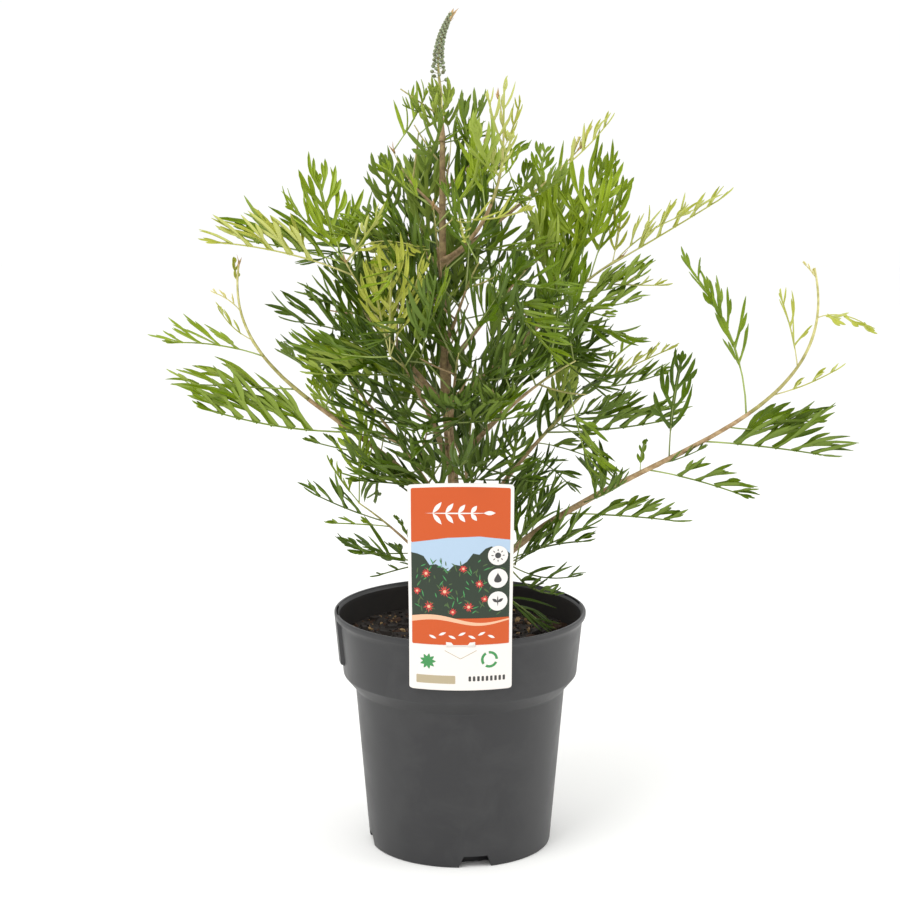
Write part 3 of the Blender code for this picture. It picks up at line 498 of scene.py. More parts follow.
def add_flake(verts, faces, dice, length, thickness, sides):
    """One flake with a jagged outline and a smaller, tilted upper face."""
    spin = dice.uniform(0.0, math.tau)
    out = edge * math.sqrt(dice.random()) - length * 0.5
    turn = dice.uniform(0.0, math.tau)
    centre = Vector((out * math.cos(turn), out * math.sin(turn), 0.0))
    centre.z = bed_height(centre.x, centre.y) + thickness * 0.25
    tilt = Matrix.Rotation(spin, 3, "Z")
    for axis, lean in zip("XY", FLAKE_TILTS):
        tilt = tilt @ Matrix.Rotation(dice.gauss(0.0, lean), 3, axis)
    first = len(verts)
    for level, size in FLAKE_LEVELS:
        for index in range(sides):
            angle = math.tau * index / sides
            reach = size * dice.uniform(0.72, 1.0)
            local = Vector((math.cos(angle) * length / 2 * reach,
                            math.sin(angle) * length / FLAKE_WIDTH * reach,
                            thickness * (level + dice.uniform(-0.2, 0.2))))
            verts.append(centre + tilt @ local)
    for index in range(sides):
        after = (index + 1) % sides
        faces.append((first + index, first + after, first + sides + after, first + sides + index))
    faces.append(tuple(first + sides + index for index in range(sides)))
    faces.append(tuple(first + index for index in reversed(range(sides))))


# Pine bark flakes: dry matt corky faces with a fibrous streak, weathered to three colours.
for name, dark, pale, share in FLAKE_COLOURS:
    pine_bark = new_material(name + "_pine_bark", pale, 0.85)
    add_pattern(pine_bark,
                {"Scale": 1 / 0.0025, "Detail": 7.0, "Roughness": 0.66, "Distortion": 1.2},
                (dark, pale), relief=(0.7, 0.0004))
    verts, faces = [], []
    for count, lengths, thicknesses, sides in FLAKE_SIZES:
        for index in range(int(count * share)):
            length = bed_dice.uniform(*lengths)
            add_flake(verts, faces, bed_dice, length, length * bed_dice.uniform(*thicknesses),
                      sides)
    flakes = add_piece("bark_flakes_" + name, verts, faces, [pine_bark], smooth=False)
    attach(flakes, "root")


# Trunk and boughs. One slender leader, about 15 mm thick where it flares into the bed and 4 mm
# at the top, with a slight lean to the left, and nineteen main boughs that rise from it. Thin
# young bark, with fine grooves, a swelling at each old leaf scar and a collar at each fork.

TRUNK_TOP = 0.560
TRUNK_LEAN = -0.0138
TRUNK_LEAN_FROM = 0.200
TRUNK_LEAN_TO = 0.420
TRUNK_RADIUS = 0.0052
TRUNK_TOP_RADIUS = 0.0021
FLARE_RADIUS = 0.0024
FLARE_HEIGHT = 0.012
STEM_TIP_SHARE = 0.36
CURVE_PULL = 0.38
LIMB_STEP = 0.0022
TRUNK_BURIED = 0.002
TRUNK_SIDES = 18
BOUGH_SIDES = 12
GROOVE_LENGTH = 0.011
GROOVE_DEPTH = 0.085
FINE_GROOVE_DEPTH = 0.05
SCAR_STEP = 0.0135
SCAR_LENGTH = 0.0013
SCAR_RISE = 0.00045
FORK_COLLAR = 0.55
FORK_LENGTH = 0.0045
GOLDEN_ANGLE = math.radians(137.508)

# Main shoots. Each leaves the trunk at a height, heads for an azimuth, and ends reach away and
# rise higher. The slopes are its angles above the level as it leaves and as it arrives. The
# first eighths of it are the bare bough, and the rest is the stem of its mass of foliage. Tone
# is the age of its leaves, from 0 for the oldest and darkest to 7 for pale new tips.
SHOOTS = {
    # name: height, azimuth, reach, rise, leaving, arriving, bare, radius, leaves, length, tone
    "right_low": (0.184, 349.5, 0.271, 0.284, 65, 104, 2, 0.0031, 0, 0.060, 3.0),
    "right_mid": (0.356, 5.0, 0.138, 0.114, 30, 30, 2, 0.0029, 3, 0.070, 4.2),
    "right_front": (0.306, 330.0, 0.108, 0.092, 45, 30, 2, 0.0024, 9, 0.096, 1.8),
    "right_back": (0.223, 26.0, 0.131, 0.150, 69, 42, 3, 0.0026, 3, 0.070, 3.4),
    "right_rim": (0.216, 316.0, 0.060, 0.020, 30, 8, 0, 0.0017, 2, 0.076, 1.4),
    "right_high": (0.468, 312.0, 0.062, 0.128, 20, 112, 1, 0.0021, 2, 0.062, 5.6),
    "right_top": (0.464, 8.0, 0.108, 0.090, 38, 46, 2, 0.0019, 2, 0.074, 4.4),
    "left_low": (0.240, 190.5, 0.170, 0.230, 70, 100, 3, 0.0027, 2, 0.060, 4.4),
    "left_mid": (0.293, 208.0, 0.093, 0.180, 73, 60, 2, 0.0025, 2, 0.070, 4.8),
    "left_rim": (0.205, 206.0, 0.088, 0.080, 42, 36, 2, 0.0020, 2, 0.080, 2.0),
    "left_high": (0.462, 168.0, 0.052, 0.042, 36, 22, 0, 0.0016, 4, 0.076, 1.8),
    "left_back": (0.352, 150.0, 0.104, 0.094, 44, 40, 2, 0.0023, 4, 0.094, 2.2),
    "front_left": (0.345, 240.0, 0.086, 0.060, 40, 28, 1, 0.0020, 5, 0.084, 2.4),
    "front_right": (0.398, 292.0, 0.072, 0.076, 42, 38, 1, 0.0019, 6, 0.088, 2.6),
    "front_mid": (0.330, 276.0, 0.070, 0.076, 44, 34, 1, 0.0021, 6, 0.090, 2.2),
    "front_top": (0.448, 262.0, 0.048, 0.066, 44, 56, 0, 0.0016, 5, 0.076, 4.6),
    "front_low": (0.268, 262.0, 0.062, 0.098, 58, 48, 1, 0.0022, 6, 0.084, 1.4),
    "back_low": (0.222, 84.0, 0.104, 0.112, 50, 38, 2, 0.0025, 6, 0.094, 1.2),
    "back_left_low": (0.254, 140.0, 0.108, 0.102, 46, 36, 2, 0.0025, 4, 0.094, 1.4),
    "back_mid": (0.330, 90.0, 0.110, 0.098, 46, 38, 2, 0.0024, 6, 0.094, 1.8),
    "back_right": (0.380, 42.0, 0.112, 0.092, 42, 36, 2, 0.0024, 7, 0.094, 2.4),
    "back_high": (0.430, 108.0, 0.078, 0.080, 46, 48, 1, 0.0019, 5, 0.080, 2.4),
    "top_left": (0.504, 200.0, 0.040, 0.050, 44, 70, 0, 0.0015, 4, 0.066, 3.8),
    "top_back": (0.512, 80.0, 0.038, 0.046, 48, 70, 0, 0.0015, 3, 0.060, 3.2),
    "top_right": (0.520, 348.0, 0.034, 0.042, 48, 70, 0, 0.0014, 3, 0.060, 4.6),
}
STRETCHES = 8
LEADER = "leader_tip"
LEADER_SIZES = (TRUNK_TOP, 180.0, 0.0006, 0.034, 89, 89, 0, TRUNK_TOP_RADIUS, 5, 0.046, 4.4)


def direction(azimuth, slope):
    """The unit vector for an azimuth and a slope above the level, both in degrees."""
    turn = math.radians(azimuth)
    lift = math.radians(slope)
    return Vector((math.cos(lift) * math.cos(turn), math.cos(lift) * math.sin(turn),
                   math.sin(lift)))


def trunk_place(height):
    return Vector((TRUNK_LEAN * smooth_share(height, TRUNK_LEAN_FROM, TRUNK_LEAN_TO), 0.0, height))


def trunk_radius(height):
    share = (height - SOIL_LEVEL) / (TRUNK_TOP - SOIL_LEVEL)
    flare = FLARE_RADIUS * math.exp(-(height - SOIL_LEVEL) / FLARE_HEIGHT)
    return TRUNK_RADIUS + (TRUNK_TOP_RADIUS - TRUNK_RADIUS) * share + flare


class Shoot:
    """A main shoot along one cubic curve: its bare bough, then the stem of its mass."""

    def __init__(self, name, sizes):
        height, azimuth, reach, rise, leaving, arriving, bare, radius, leaves, length, tone = sizes
        self.name = name
        self.bare = bare / STRETCHES
        self.radius = radius
        self.leaves = leaves
        self.leaf_length = length
        self.tone = tone
        start = trunk_place(height)
        end = start + direction(azimuth, 0.0) * reach + Vector((0.0, 0.0, rise))
        self.span = (end - start).length
        pull = CURVE_PULL * self.span
        self.curve = (start, start + direction(azimuth, leaving) * pull,
                      end - direction(azimuth, arriving) * pull, end)

    def place(self, share):
        t = min(max(share, 0.0), 1.0)
        s = 1.0 - t
        a, b, c, d = self.curve
        return s * s * s * a + 3 * s * s * t * b + 3 * s * t * t * c + t * t * t * d

    def heading(self, share):
        share = min(max(share, 0.03), 0.97)
        return (self.place(share + 0.03) - self.place(share - 0.03)).normalized()

    def radius_at(self, share):
        return self.radius * (1.0 + (STEM_TIP_SHARE - 1.0) * share)


def add_tube(verts, faces, places, radii, sides, relief=None):
    """A closed tube through places, which relief may swell or groove at each point."""
    first = len(verts)
    heading = (places[1] - places[0]).normalized()
    side = heading.orthogonal().normalized()
    travelled = 0.0
    for index, place in enumerate(places):
        ahead = places[min(index + 1, len(places) - 1)] - places[max(index - 1, 0)]
        heading = ahead.normalized()
        side = (side - heading * side.dot(heading)).normalized()
        across = heading.cross(side)
        if index:
            travelled += (place - places[index - 1]).length
        for corner in range(sides):
            angle = math.tau * corner / sides
            radius = radii[index] + (relief(angle, travelled, radii[index]) if relief else 0.0)
            verts.append(place + (side * math.cos(angle) + across * math.sin(angle)) * radius)
    for index in range(len(places) - 1):
        ring = first + index * sides
        for corner in range(sides):
            after = (corner + 1) % sides
            faces.append((ring + corner, ring + after,
                          ring + sides + after, ring + sides + corner))
    faces.append(tuple(first + corner for corner in reversed(range(sides))))
    last = first + (len(places) - 1) * sides
    faces.append(tuple(last + corner for corner in range(sides)))


def bark_relief(seed, collar):
    """Fine lengthwise grooves, a swelling at each leaf scar, and a collar at the fork."""
    offset = Vector((seed * 3.1, seed * 1.7, 0.0))

    def relief(angle, travelled, radius):
        spot = Vector((math.cos(angle) * 2.4, math.sin(angle) * 2.4, travelled / GROOVE_LENGTH))
        grooves = noise.noise(spot + offset) * GROOVE_DEPTH * radius
        fine = noise.noise(spot * 2.7 + offset) * FINE_GROOVE_DEPTH * radius
        scar = round(travelled / SCAR_STEP)
        near = math.exp(-((travelled - scar * SCAR_STEP) / SCAR_LENGTH) ** 2)
        facing = max(math.cos(angle - scar * GOLDEN_ANGLE), 0.0) ** 2
        swelling = SCAR_RISE * near * facing * min(radius / 0.003, 1.0) if scar else 0.0
        fork = radius * FORK_COLLAR * collar * math.exp(-travelled / FORK_LENGTH)
        return grooves + fine + swelling + fork
    return relief


# Young bark: thin, matt and slightly fibrous, grey-brown on the old wood and pinkish tan on
# last season's. The mottling is about 5 mm long, with grooves near half a millimetre.
def bark_material(name, dark, pale, roughness):
    material = new_material(name, pale, roughness)
    add_pattern(material, {"Scale": 1 / 0.005, "Detail": 6.0, "Roughness": 0.6}, (dark, pale),
                (0.36, 0.64), {"Scale": 1 / 0.0006, "Detail": 3.0, "Roughness": 0.7},
                (0.6, 0.0002))
    return material


old_bark = bark_material("grey_brown_bark", "#7a6448", "#ab9468", 0.82)
young_bark = bark_material("pinkish_tan_bark", "#8f7554", "#bda27a", 0.72)

shoots = [Shoot(name, sizes) for name, sizes in SHOOTS.items()]
shoots.append(Shoot(LEADER, LEADER_SIZES))

verts, faces = [], []
steps = int((TRUNK_TOP - SOIL_LEVEL) / LIMB_STEP)
heights = [SOIL_LEVEL - TRUNK_BURIED + (TRUNK_TOP - SOIL_LEVEL + TRUNK_BURIED) * index / steps
           for index in range(steps + 1)]
add_tube(verts, faces, [trunk_place(height) for height in heights],
         [trunk_radius(max(height, SOIL_LEVEL)) for height in heights], TRUNK_SIDES,
         bark_relief(1.0, 0.0))
trunk = add_piece("trunk_bark", verts, faces, [old_bark])
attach(trunk, "root")
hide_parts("trunk")


def stretch_of(shoot, low, high, step, least=1):
    """The shares along a stretch of a shoot, in even steps of about the length given."""
    steps = max(int(shoot.span * (high - low) * 1.1 / step), least)
    return [low + (high - low) * index / steps for index in range(steps + 1)]


verts, faces = [], []
for seed, shoot in enumerate(shoots):
    if shoot.bare:
        shares = stretch_of(shoot, 0.0, shoot.bare, LIMB_STEP)
        add_tube(verts, faces, [shoot.place(share) for share in shares],
                 [shoot.radius_at(share) for share in shares], BOUGH_SIDES,
                 bark_relief(seed + 2.0, 1.0))
boughs = add_piece("bough_bark", verts, faces, [young_bark])
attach(boughs, "root")
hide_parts(*["bough_" + shoot.name for shoot in shoots if shoot.bare])


# Crown. Soft leafy shoots carry ferny leaves 5 to 13 cm long in a spiral, each cut almost to
# its rib into pairs of curved lobes that part into pointed fingers. They grow here by the rule
# that placed the solid masses, carried on to finer twigs and whole leaves.

PETIOLE_SHARE = 0.33
LAST_LOBE_SHARE = 0.90
LOBE_SPACING = 0.0155
LOBE_SPREAD = math.radians(54.0)
LOBE_STAGGER = 0.008
LOBE_ROLL = math.radians(20.0)
MEAN_BEND = 0.38
LEAF_CURLS = (-0.06, 0.22)
LOBE_FOLDS = (14.0, 42.0)
LOBE_REACHES = ((0.30, 0.44), (0.45, 0.49), (0.62, 0.47), (0.80, 0.38), (0.92, 0.27))
FEWEST_LOBES = 3
MOST_LOBES = 7
YOUNG_TONES = (4.8, 7.0)
LEAF_LENGTH_SPREAD = 0.14
LEAF_LIFTS = (-0.30, 0.50)
LEAF_SWAY = 0.12
LEAF_LENGTHS_TRIED = (1.0, 0.85, 0.70)
LEAF_OPENINGS_TRIED = (62.0, 46.0, 30.0)
LEAF_TURNS_TRIED = (0.0, 0.6, -0.6, 1.2, -1.2)
LIMB_GAP = 0.0014
POT_GAP = 0.0040
LABEL_GAP = 0.0080
BOX_MARGIN = 0.004
CELL = 0.0042
CROWDED_SHARE = 0.04
LABEL_WIDTH = 0.0796
LABEL_HEAD = 0.3130
TWIG_STEP = 0.034
TWIG_LENGTHS = (0.026, 0.044)
TWIG_OPENINGS = (40.0, 58.0)
TWIG_TURNS_TRIED = 6
TWIG_RADIUS = 0.00085
TONE_SPREAD = 0.80
SEED = 4711

# How far the crown reaches from the trunk at each height, as pairs of height and radius.
CROWN_OUTLINE = ((0.20, 0.112), (0.26, 0.130), (0.33, 0.148), (0.40, 0.158), (0.45, 0.150),
                 (0.50, 0.118), (0.54, 0.082), (0.58, 0.055), (0.605, 0.034), (0.612, 0.0))

# The boughs that stand out from the crown carry these leaves: share of the shoot, azimuth,
# slope above the level, length, lift of the tip, fold of the lobes, tone, and size of the lobes.
PLANNED_LEAVES = {
    "right_low": (
        (0.64, 144, 88, 0.124, -0.97, 14, 3.6, 0.56), (0.705, 0, 14, 0.054, 0.35, 70, 5.9, 0.6),
        (0.787, 142, 82, 0.054, -0.7, 30, 5.9, 1.1), (0.905, 0, 21, 0.04, -1.13, -45, 6.3, 1.7),
        (0.98, 180, 60, 0.015, -0.41, 40, 6.6, 1.2), (0.545, 354, -2, 0.094, -0.12, 60, 3.2, 1.2),
        (0.598, 15, -11, 0.075, 0.42, 50, 3.0, 1.1), (0.435, 345, -6, 0.077, -0.22, 66, 2.6, 0.8),
        (0.273, 354, 1, 0.088, -0.12, 60, 2.8, 0.7), (0.478, 68, 89, 0.077, -0.98, 18, 2.4, 0.9),
        (0.422, 76, 89, 0.03, -1.0, 30, 3.4, 0.5), (0.453, 344, 16, 0.039, 0.29, 40, 2.2, 0.6),
        (0.35, 95, 4, 0.066, 0.1, 40, 2.4, 1.0), (0.31, 300, 20, 0.06, 0.2, 60, 2.4, 1.0),
        (0.2, 80, 10, 0.072, 0.1, 40, 2.0, 1.0),
    ),
    "left_low": (
        (0.408, 190, 2, 0.114, 0.32, 74, 4.0, 1.1), (0.593, 173, 2, 0.087, -0.01, 50, 5.0, 0.95),
        (0.723, 188, 21, 0.07, -0.37, 30, 5.3, 1.1), (0.78, 180, 25, 0.033, 1.2, 40, 5.6, 1.0),
        (0.87, 180, 54, 0.025, -0.61, 40, 6.6, 1.1), (0.945, 118, 66, 0.019, 1.17, 30, 6.5, 1.1),
        (0.31, 190, 8, 0.059, 0.19, 55, 2.6, 0.6), (0.5, 80, 22, 0.078, 0.1, 40, 2.8, 1.0),
        (0.08, 164, 36, 0.084, -0.1, 40, 1.4, 1.0), (0.22, 230, 20, 0.076, 0.0, 45, 1.6, 1.0),
    ),
    "left_mid": (
        (0.993, 350, 60, 0.057, -1.2, -60, 6.3, 1.3), (0.995, 125, 46, 0.07, 1.2, 12, 4.9, 1.3),
        (0.968, 53, 63, 0.056, -0.62, 15, 4.5, 1.2), (0.988, 172, 17, 0.076, -0.17, 66, 4.4, 1.3),
        (0.94, 186, 24, 0.106, -0.33, 62, 5.7, 1.0), (0.473, 209, 5, 0.082, 0.02, 62, 4.6, 1.3),
        (0.603, 193, 28, 0.049, 0.02, 40, 2.6, 0.8), (0.56, 167, 30, 0.09, -0.45, 50, 2.3, 1.2),
        (0.603, 154, 49, 0.077, -0.71, 40, 2.6, 1.1), (0.677, 146, 46, 0.07, -0.26, 30, 3.2, 1.0),
        (1.0, 154, 45, 0.058, -0.24, 20, 4.8, 1.2), (0.35, 196, 10, 0.07, 0.15, 40, 2.2, 1.0),
    ),
    "front_low": (
        (0.05, 220, 50, 0.08, -0.2, 40, 1.4, 1.0), (0.07, 320, 50, 0.08, -0.2, 40, 1.2, 1.0),
        (0.1, 236, 40, 0.08, -0.2, 40, 1.6, 1.0), (0.12, 296, 40, 0.08, -0.2, 40, 1.6, 1.0),
        (0.24, 200, 4, 0.066, 0.1, 40, 1.4, 1.0), (0.3, 335, 2, 0.072, 0.1, 40, 1.2, 1.0),
        (0.44, 215, -6, 0.078, 0.15, 45, 1.6, 1.0), (0.5, 318, -8, 0.08, 0.1, 40, 1.8, 1.0),
        (0.62, 190, 6, 0.08, 0.1, 40, 1.6, 1.0),
    ),
    "front_left": (
        (1.0, 86, 89, 0.074, -0.97, 10, 5.6, 1.3), (0.995, 33, 68, 0.069, -0.13, 10, 5.6, 1.2),
        (0.995, 125, 63, 0.066, 1.2, 10, 5.5, 1.1),
    ),
    "right_mid": (
        (0.9, 360, 30, 0.107, 0.05, 58, 6.1, 0.78), (0.97, 349, 50, 0.063, -0.53, 40, 6.4, 1.3),
        (0.953, 68, 53, 0.048, 1.2, 30, 6.4, 1.3), (0.838, 49, 64, 0.079, -0.24, 20, 4.7, 1.0),
        (0.755, 124, 79, 0.099, -0.82, 15, 4.8, 1.0), (0.787, 58, 89, 0.097, -0.98, 15, 4.7, 1.0),
        (0.753, 339, -3, 0.058, 0.75, 64, 4.5, 1.2), (0.667, 350, -10, 0.057, 0.5, 60, 4.2, 1.1),
        (0.818, 341, -4, 0.061, 0.14, 40, 5.8, 0.6), (0.695, 308, -16, 0.051, 0.27, 62, 4.4, 1.1),
        (0.642, 84, 89, 0.089, -0.98, 14, 4.6, 1.1), (0.473, 27, 49, 0.087, 1.01, 18, 4.0, 1.1),
        (0.473, 339, -15, 0.057, 0.07, -20, 2.0, 1.2),
        (0.6, 343, -10, 0.068, -0.12, -20, 2.6, 1.1), (0.467, 340, -33, 0.071, -0.1, 45, 2.0, 1.0),
        (0.4, 60, 30, 0.07, 0.1, 40, 1.8, 1.0),
    ),
    "right_high": (
        (0.79, 37, 89, 0.041, -0.06, 20, 6.4, 1.4), (0.763, 223, 58, 0.039, 1.2, 25, 6.2, 1.4),
        (0.743, 41, 55, 0.037, 1.2, 25, 6.3, 1.4), (0.655, 289, 45, 0.032, 0.2, 25, 6.5, 1.6),
        (0.605, 255, 25, 0.029, 1.2, 30, 6.5, 1.6), (0.595, 35, 32, 0.028, 1.2, 30, 5.0, 1.0),
        (0.395, 115, 77, 0.063, -0.52, 15, 4.6, 1.0), (0.56, 250, 40, 0.064, 0.1, 30, 4.6, 1.0),
    ),
    "right_top": (
        (0.802, 0, 35, 0.059, 0.52, 70, 6.2, 1.1), (0.968, 360, 57, 0.021, 0.12, 30, 6.6, 1.4),
        (0.932, 360, 74, 0.015, -0.45, 30, 6.6, 1.3), (0.7, 78, 89, 0.039, -1.0, 25, 3.5, 0.9),
        (0.55, 70, 56, 0.035, -0.18, 25, 3.8, 0.9), (0.55, 300, 20, 0.062, 0.1, 30, 4.0, 1.0),
    ),
    "left_rim": (
        (0.78, 190, 19, 0.061, 0.2, 50, 2.2, 0.9), (0.983, 157, 45, 0.041, 0.36, 40, 5.4, 0.6),
        (0.718, 204, 11, 0.05, -0.08, 40, 4.0, 0.5), (0.405, 214, 8, 0.054, -0.02, 40, 2.0, 0.7),
        (0.295, 225, 4, 0.057, -0.14, 40, 1.6, 0.4), (0.517, 241, 71, 0.034, -0.78, 20, 1.6, 0.4),
    ),
    "right_rim": (
        (0.943, 360, 36, 0.024, -0.07, 20, 1.4, 0.8), (0.912, 329, -23, 0.058, 0.74, 55, 1.2, 0.8),
        (0.88, 306, -36, 0.063, 0.85, 55, 1.0, 0.8), (0.833, 14, 65, 0.071, -0.49, 20, 1.8, 1.0),
        (0.713, 41, 75, 0.066, -0.66, 20, 2.0, 1.0), (0.833, 360, 27, 0.075, -0.05, 60, 2.4, 0.9),
        (0.748, 9, 29, 0.069, -0.5, 60, 2.0, 1.0),
    ),
    "right_back": (
        (0.66, 0, 0, 0.099, 0.22, 66, 3.2, 0.9), (0.92, 17, 23, 0.072, -0.04, 50, 5.6, 0.55),
        (0.975, 34, 51, 0.044, -0.57, 40, 5.4, 0.6), (0.715, 334, -18, 0.059, -1.2, 40, 3.0, 0.7),
        (0.745, 350, 13, 0.06, 0.04, 60, 3.4, 0.8), (0.6, 347, -4, 0.047, -0.35, 60, 2.6, 1.0),
        (0.91, 19, -3, 0.064, 0.38, 60, 3.4, 0.9), (0.532, 0, -19, 0.045, -0.96, 55, 2.2, 1.0),
        (0.76, 324, 68, 0.063, -0.9, -20, 1.8, 1.2), (0.657, 312, 30, 0.074, -0.19, -30, 1.6, 1.2),
        (0.12, 352, 46, 0.084, -0.1, 40, 1.4, 1.0), (0.22, 300, 24, 0.076, 0.0, 45, 1.6, 1.0),
        (0.54, 60, 20, 0.08, 0.1, 40, 2.4, 1.0), (0.8, 90, 24, 0.08, 0.1, 40, 3.2, 1.0),
    ),
}


class Leaf:
    """One leaf: a rib from its root along its heading, and lobes that stand off it in pairs."""

    def __init__(self, root, heading, facing, length, lift, fold, tone, sway=0.0, curl=0.08,
                 lobe_size=1.0):
        self.root = root
        self.lobe_size = lobe_size
        self.facing = facing
        self.length = length
        self.fold = fold
        self.tone = tone
        self.curl = curl
        self.bare = PETIOLE_SHARE / max(lobe_size, 1.0)
        self.middle = root + heading * length * 0.5
        end_heading = (heading + Vector((0.0, 0.0, lift))).normalized()
        self.tip = root + (heading + end_heading).normalized() * length
        self.tip += heading.cross(facing) * sway * length
        lobed = length * (LAST_LOBE_SHARE - self.bare)
        self.pairs = min(max(round(1.3 + lobed / LOBE_SPACING), FEWEST_LOBES), MOST_LOBES)

    def on_rib(self, share):
        rest = 1.0 - share
        return (rest * rest * self.root + 2.0 * share * rest * self.middle
                + share * share * self.tip)

    def frame(self, share):
        """Along the rib, out to its right, and up on the side that it faces."""
        along = (self.on_rib(share + 0.02) - self.on_rib(share - 0.02)).normalized()
        up = (self.facing - along * self.facing.dot(along)).normalized()
        return along, along.cross(up), up

    def lobes(self):
        """Foot, axis, direction towards the leaf's tip, upper side, and reach of each lobe."""
        for pair in range(self.pairs):
            share = self.bare + (LAST_LOBE_SHARE - self.bare) * pair / (self.pairs - 1)
            reach = self.length * float(np.interp(share, *zip(*LOBE_REACHES)))
            reach *= self.lobe_size * (1.0 - 0.45 * smooth_share(self.tone, *YOUNG_TONES))
            for sign in (-1.0, 1.0):
                stagger = LOBE_STAGGER * sign * (1.0 - 2.0 * (pair % 2))
                along, side, up = self.frame(share + stagger)
                outward = side * sign * math.cos(self.fold) + up * math.sin(self.fold)
                spread = LOBE_SPREAD * (1.0 - 0.35 * pair / self.pairs)
                axis = along * math.cos(spread) + outward * math.sin(spread)
                ahead = (along - axis * along.dot(axis)).normalized()
                upper = up * math.cos(self.fold) - side * sign * math.sin(self.fold)
                yield (self.on_rib(share + stagger), axis,
                       ahead * math.cos(LOBE_ROLL) + upper * math.sin(LOBE_ROLL),
                       upper * math.cos(LOBE_ROLL) - ahead * math.sin(LOBE_ROLL), reach)

    def samples(self):
        """Points along the rib and the lobes, to test whether the leaf has room."""
        points = [self.on_rib(share) for share in (0.32, 0.5, 0.68, 0.84, 1.0)]
        for foot, axis, ahead, upper, reach in self.lobes():
            points += [foot + axis * reach * 0.5, foot + (axis + ahead * MEAN_BEND) * reach]
        return np.array([tuple(point) for point in points])


def facing_of(heading, stem_heading, pull=0.6):
    """The side a leaf faces: mostly the sky, and partly the tip of its stem."""
    up = Vector((0.0, 0.0, 1.0))
    to_sky = up - heading * heading.dot(up)
    to_tip = stem_heading - heading * heading.dot(stem_heading)
    facing = to_sky + to_tip * pull
    if facing.length < 0.05:
        facing = heading.orthogonal()
    return facing.normalized()


def leaf_heading(stem_heading, turn, opening):
    """A heading that opens from a stem's own, at a turn about it, where 0 is nearest to up."""
    up = Vector((0.0, 0.0, 1.0))
    first = up - stem_heading * stem_heading.dot(up)
    if first.length < 0.05:
        first = Vector((1.0, 0.0, 0.0)) - stem_heading * stem_heading.x
    first.normalize()
    across = first * math.cos(turn) + stem_heading.cross(first) * math.sin(turn)
    angle = math.radians(opening)
    return stem_heading * math.cos(angle) + across * math.sin(angle)


limbs = [(trunk_place(height), trunk_radius(height))
         for height in np.linspace(SOIL_LEVEL, TRUNK_TOP, 120)]
limbs += [(shoot.place(share), shoot.radius_at(share))
          for shoot in shoots for share in np.linspace(0.0, 1.0, 40)]
limb_spots = np.array([tuple(spot) for spot, radius in limbs])
limb_radii = np.array([radius for spot, radius in limbs])
box_low = np.array(tuple(cad_low)) - BOX_MARGIN
box_high = np.array(tuple(cad_high)) + BOX_MARGIN
taken = set()


def clear_of_limbs(points):
    gaps = np.linalg.norm(points[:, None, :] - limb_spots[None, :, :], axis=2) - limb_radii
    return gaps.min() >= LIMB_GAP


def clear_of_pot_and_label(points):
    out = np.hypot(points[:, 0], points[:, 1])
    over_wall = out > COLLAR_TOP_RADIUS - WALL - POT_GAP
    low = np.where(over_wall, POT_HEIGHT, SOIL_LEVEL) + POT_GAP
    at_label = ((np.abs(points[:, 0]) < LABEL_WIDTH / 2 + LABEL_GAP)
                & (points[:, 1] < LABEL_GAP - RIM_RADIUS)
                & (points[:, 2] < LABEL_HEAD + LABEL_GAP))
    return not (points[:, 2] < low).any() and not at_label.any()


def inside_crown(points, stretch):
    heights, reaches = zip(*CROWN_OUTLINE)
    out = np.hypot(points[:, 0] - TRUNK_LEAN, points[:, 1])
    return ((out <= np.interp(points[:, 2], heights, reaches) * stretch).all()
            and (points >= box_low).all() and (points <= box_high).all())


def cells(points):
    return {tuple(cell) for cell in np.floor(points / CELL).astype(int)}


def add_leaf(leaf, planned, stretch=1.0):
    """Keep a leaf that clears the limbs, the pot and the label and isn't lost among others."""
    points = leaf.samples()
    if not clear_of_pot_and_label(points):
        return False
    own = cells(points)
    if not planned:
        crowded = sum(cell in taken for cell in own) > CROWDED_SHARE * len(own)
        if crowded or not inside_crown(points, stretch) or not clear_of_limbs(points):
            return False
    taken.update(own)
    leaves.append(leaf)
    return True


def try_leaf(dice, root, stem_heading, turn, length, tone):
    """Add the longest and most open of the leaves tried that has room in the crown."""
    length *= 1.0 + dice.uniform(-LEAF_LENGTH_SPREAD, LEAF_LENGTH_SPREAD)
    length *= 1.0 - 0.30 * smooth_share(tone, *YOUNG_TONES)
    lift = dice.uniform(*LEAF_LIFTS)
    fold = math.radians(dice.uniform(*LOBE_FOLDS))
    sway = dice.uniform(-LEAF_SWAY, LEAF_SWAY)
    curl = dice.uniform(*LEAF_CURLS)
    stretch = dice.triangular(0.70, 1.12, 0.95)
    for share in LEAF_LENGTHS_TRIED:
        for opening in LEAF_OPENINGS_TRIED:
            for shift in LEAF_TURNS_TRIED:
                heading = leaf_heading(stem_heading, turn + shift, opening)
                leaf = Leaf(root, heading, facing_of(heading, stem_heading), length * share,
                            lift, fold, tone, sway, curl)
                if add_leaf(leaf, False, stretch):
                    return True
    return False


def spray_tone(dice, shoot, share, place):
    """Leaves are younger towards a shoot's tip, high up, and out in the light."""
    out = math.hypot(place.x - TRUNK_LEAN, place.y) / 0.15
    return shoot.tone + 1.3 * (share - 0.55) + 0.9 * (out - 0.5) + dice.gauss(0.1, TONE_SPREAD)


